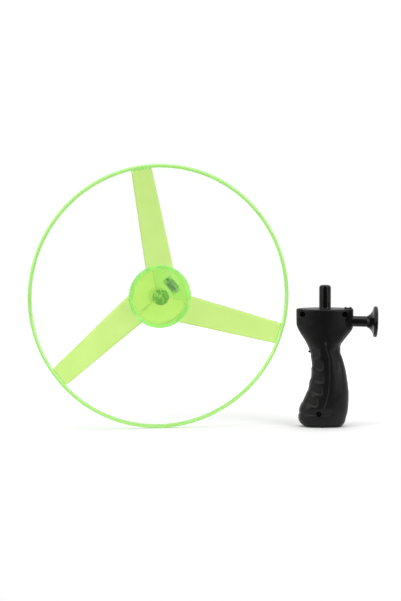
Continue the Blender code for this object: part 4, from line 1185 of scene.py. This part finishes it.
def build_floor():
    """White floor that glows more towards its edge."""
    shape = bmesh.new()
    bmesh.ops.create_circle(shape, cap_ends=True, segments=ROUND_SEGMENTS, radius=FLOOR_RADIUS)
    floor = new_object("floor", moved(shape, Matrix.Translation((0, FLOOR_BACK, 0))))
    floor.location = FLOOR_MIDDLE
    material, tree, shader = new_material("white_floor")
    link(ramp(tree, noise(tree, FLOOR_TONE_SCALE), *FLOOR_TONES), shader, "Base Color")
    put(shader, {"Roughness": FLOOR_ROUGHNESS, "Specular IOR Level": FLOOR_SHINE, "Emission Color": WHITE})
    away = tree.nodes.new("ShaderNodeVectorMath")
    away.operation = "LENGTH"
    link(coordinates(tree), away, "Vector")
    reach = (FLOOR_CLEAR, FLOOR_RADIUS)
    link(spread(tree, away.outputs["Value"], *FLOOR_GLOW, reach), shader, "Emission Strength")
    floor.data.materials.append(material)


def build_surround():
    """White surround that lights the object mostly from behind."""
    world = bpy.data.worlds.new("white_surround")
    bpy.context.scene.world = world
    world.use_nodes = True
    tree = world.node_tree
    parts = tree.nodes.new("ShaderNodeSeparateXYZ")
    link(coordinates(tree, "Generated"), parts, "Vector")
    light = spread(tree, parts.outputs["Y"], *SURROUND_LIGHT, LIGHT_SPAN)
    seen = tree.nodes.new("ShaderNodeLightPath")
    strength = tree.nodes.new("ShaderNodeMix")
    link(seen.outputs["Is Camera Ray"], strength, "Factor")
    link(light, strength, "A")
    put(strength, {"B": 1.0})
    background = tree.nodes["Background"]
    link(strength.outputs["Result"], background, "Strength")
    put(background, {"Color": WHITE})


def build_lights():
    """Soft boxes that face the picture's middle."""
    for name, place, size, power in SOFT_BOXES:
        light = bpy.data.lights.new(name, "AREA")
        light.shape = "RECTANGLE"
        light.size, light.size_y = size
        light.energy = power
        lamp = bpy.data.objects.new(name, light)
        lamp.location = place
        lamp.rotation_euler = (VIEW_POINT - Vector(place)).to_track_quat("-Z", "Y").to_euler()
        bpy.context.scene.collection.objects.link(lamp)


def build_camera():
    """Camera at the photograph's angle, and plain colours."""
    scene = bpy.context.scene
    data = bpy.data.cameras.new("camera")
    data.sensor_width = SENSOR
    data.lens = FOCAL_PIXELS * SENSOR / PICTURE_HEIGHT
    camera = bpy.data.objects.new("camera", data)
    camera.location = VIEW_POINT + VIEW_DISTANCE * Vector((0, -cos(VIEW_ANGLE), sin(VIEW_ANGLE)))
    camera.rotation_euler = (pi / 2 - VIEW_ANGLE, 0, 0)
    scene.collection.objects.link(camera)
    scene.camera = camera
    scene.view_settings.view_transform = "Standard"


def dress(frame, material, *nodes):
    """Give solids that stay in view a finished material."""
    for name in nodes:
        solid = frame["nodes"][name]
        solid.data.materials.clear()
        solid.data.materials.append(material)


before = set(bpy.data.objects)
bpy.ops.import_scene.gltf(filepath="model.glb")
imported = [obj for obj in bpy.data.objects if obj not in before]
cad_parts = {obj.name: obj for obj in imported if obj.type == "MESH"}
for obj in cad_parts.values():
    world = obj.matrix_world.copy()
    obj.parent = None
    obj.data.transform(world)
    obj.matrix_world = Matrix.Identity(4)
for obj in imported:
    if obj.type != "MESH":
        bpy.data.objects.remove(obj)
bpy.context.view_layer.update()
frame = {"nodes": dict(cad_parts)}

# Materials in use: name, darker and lighter colour, span of roughness, and what else sets them apart
black = moulded(
    "matte_black_plastic", (0.004, 0.004, 0.004), (0.007, 0.007, 0.007), (0.33, 0.43),
    grain=2600.0, depth=0.02 * MM, specular=0.25,
)
gloss_black = moulded(
    "gloss_black_plastic", (0.003, 0.003, 0.003), (0.005, 0.005, 0.005), (0.20, 0.30),
    grain=500.0, depth=0.01 * MM, specular=0.3,
)
white = moulded(
    "natural_white_plastic", (0.70, 0.69, 0.64), (0.78, 0.77, 0.73), (0.42, 0.58),
    grain=1500.0, depth=0.02 * MM,
)
steel = moulded(
    "bright_steel", (0.50, 0.50, 0.51), (0.66, 0.66, 0.66), (0.22, 0.36),
    grain=4000.0, depth=0.004 * MM, metallic=1.0,
)
# Screws coloured near black, so the deep screw recesses read dark
dark_steel = moulded(
    "near_black_screw_steel", (0.006, 0.006, 0.006), (0.014, 0.014, 0.014), (0.3, 0.5),
    grain=3000.0, depth=0.01 * MM, metallic=0.8,
)
cell_steel = moulded(
    "cell_steel", (0.05, 0.30, 0.02), (0.09, 0.38, 0.04), (0.4, 0.55),
    grain=3000.0, depth=0.004 * MM, metallic=0.6,
)
# Painted light on the light unit: a faint glow on board and holder, which are no lamps, and tones made
# lighter against the shade in the tray
board = translucent(
    "circuit_board", (0.34, 0.74, 0.18), (0.40, 0.78, 0.22), (0.35, 0.50),
    glow=(0.01, 0.03, 0.004), flow_and_shade_scale=400.0,
)
holder_painted_light = translucent(
    "holder_plastic_painted_light", (0.12, 0.52, 0.06), (0.18, 0.60, 0.09), (0.35, 0.50),
    glow=(0.008, 0.04, 0.003), flow_and_shade_scale=300.0,
)
epoxy = translucent("clear_epoxy", (0.86, 0.88, 0.86), (0.92, 0.92, 0.92), (0.05, 0.12), glow=(0, 0, 0))
green = translucent(
    "bright_green_plastic", (0.44, 0.84, 0.23), (0.50, 0.88, 0.28), (0.15, 0.28), glow=(0.014, 0.04, 0.004)
)
edge_green = translucent(
    "edge_green_plastic", (0.62, 0.94, 0.46), (0.70, 0.96, 0.54), (0.15, 0.28), glow=(0.05, 0.13, 0.04)
)
dome_green = translucent(
    "dome_green_plastic", (0.81, 0.94, 0.52), (0.87, 0.95, 0.60), (0.17, 0.24),
    glow=(0.03, 0.06, 0.02), transmission=0.97, bend=1.24,
)
pale_green = translucent(
    "pale_green_plastic", (0.61, 0.86, 0.25), (0.65, 0.88, 0.28), (0.28, 0.42), glow=(0.018, 0.03, 0.005)
)
# The socket cap's own plastic, with dark patches of painted shade from the bore behind it and lighter
# patches of painted highlight from its keys
socket_cap_shade_green = translucent(
    "socket_cap_painted_shade", (0.05, 0.26, 0.015), (0.38, 0.82, 0.18), (0.2, 0.4),
    glow=(0.006, 0.03, 0.002), transmission=0.6, flow_and_shade_scale=380.0, flow_and_shade_span=(0.49, 0.62),
)
# A darker tone painted on the tray's floor, only in the sector by the light unit
sector_darker_green = translucent(
    "sector_darker_green_plastic", (0.36, 0.78, 0.17), (0.42, 0.82, 0.20), (0.28, 0.42), glow=(0.012, 0.03, 0.004)
)
braid = braided("braided_cord", (0.60, 0.58, 0.52), (0.82, 0.80, 0.75))

# Pieces, solids that stay in view, and stage
build_shells(black)
build_screws(dark_steel)
build_spindle(gloss_black)
build_knob(gloss_black)
build_guide(black)
build_winding(braid)
build_cord_run(braid)
build_lead(braid)
build_knot(braid)
build_rim(green)
build_rotor(pale_green, socket_cap_shade_green, sector_darker_green)
build_dome(dome_green, edge_green)
dress(frame, white, "reel_drum", "spring_cup", "spring_cover")
dress(frame, holder_painted_light, "cell_holder")
dress(frame, steel, "recoil_spring")
dress(frame, cell_steel, "cell_inner", "cell_outer", "spin_switch")
dress(frame, board, "light_board")
dress(frame, epoxy, "led")
build_floor()
build_surround()
build_lights()
build_camera()
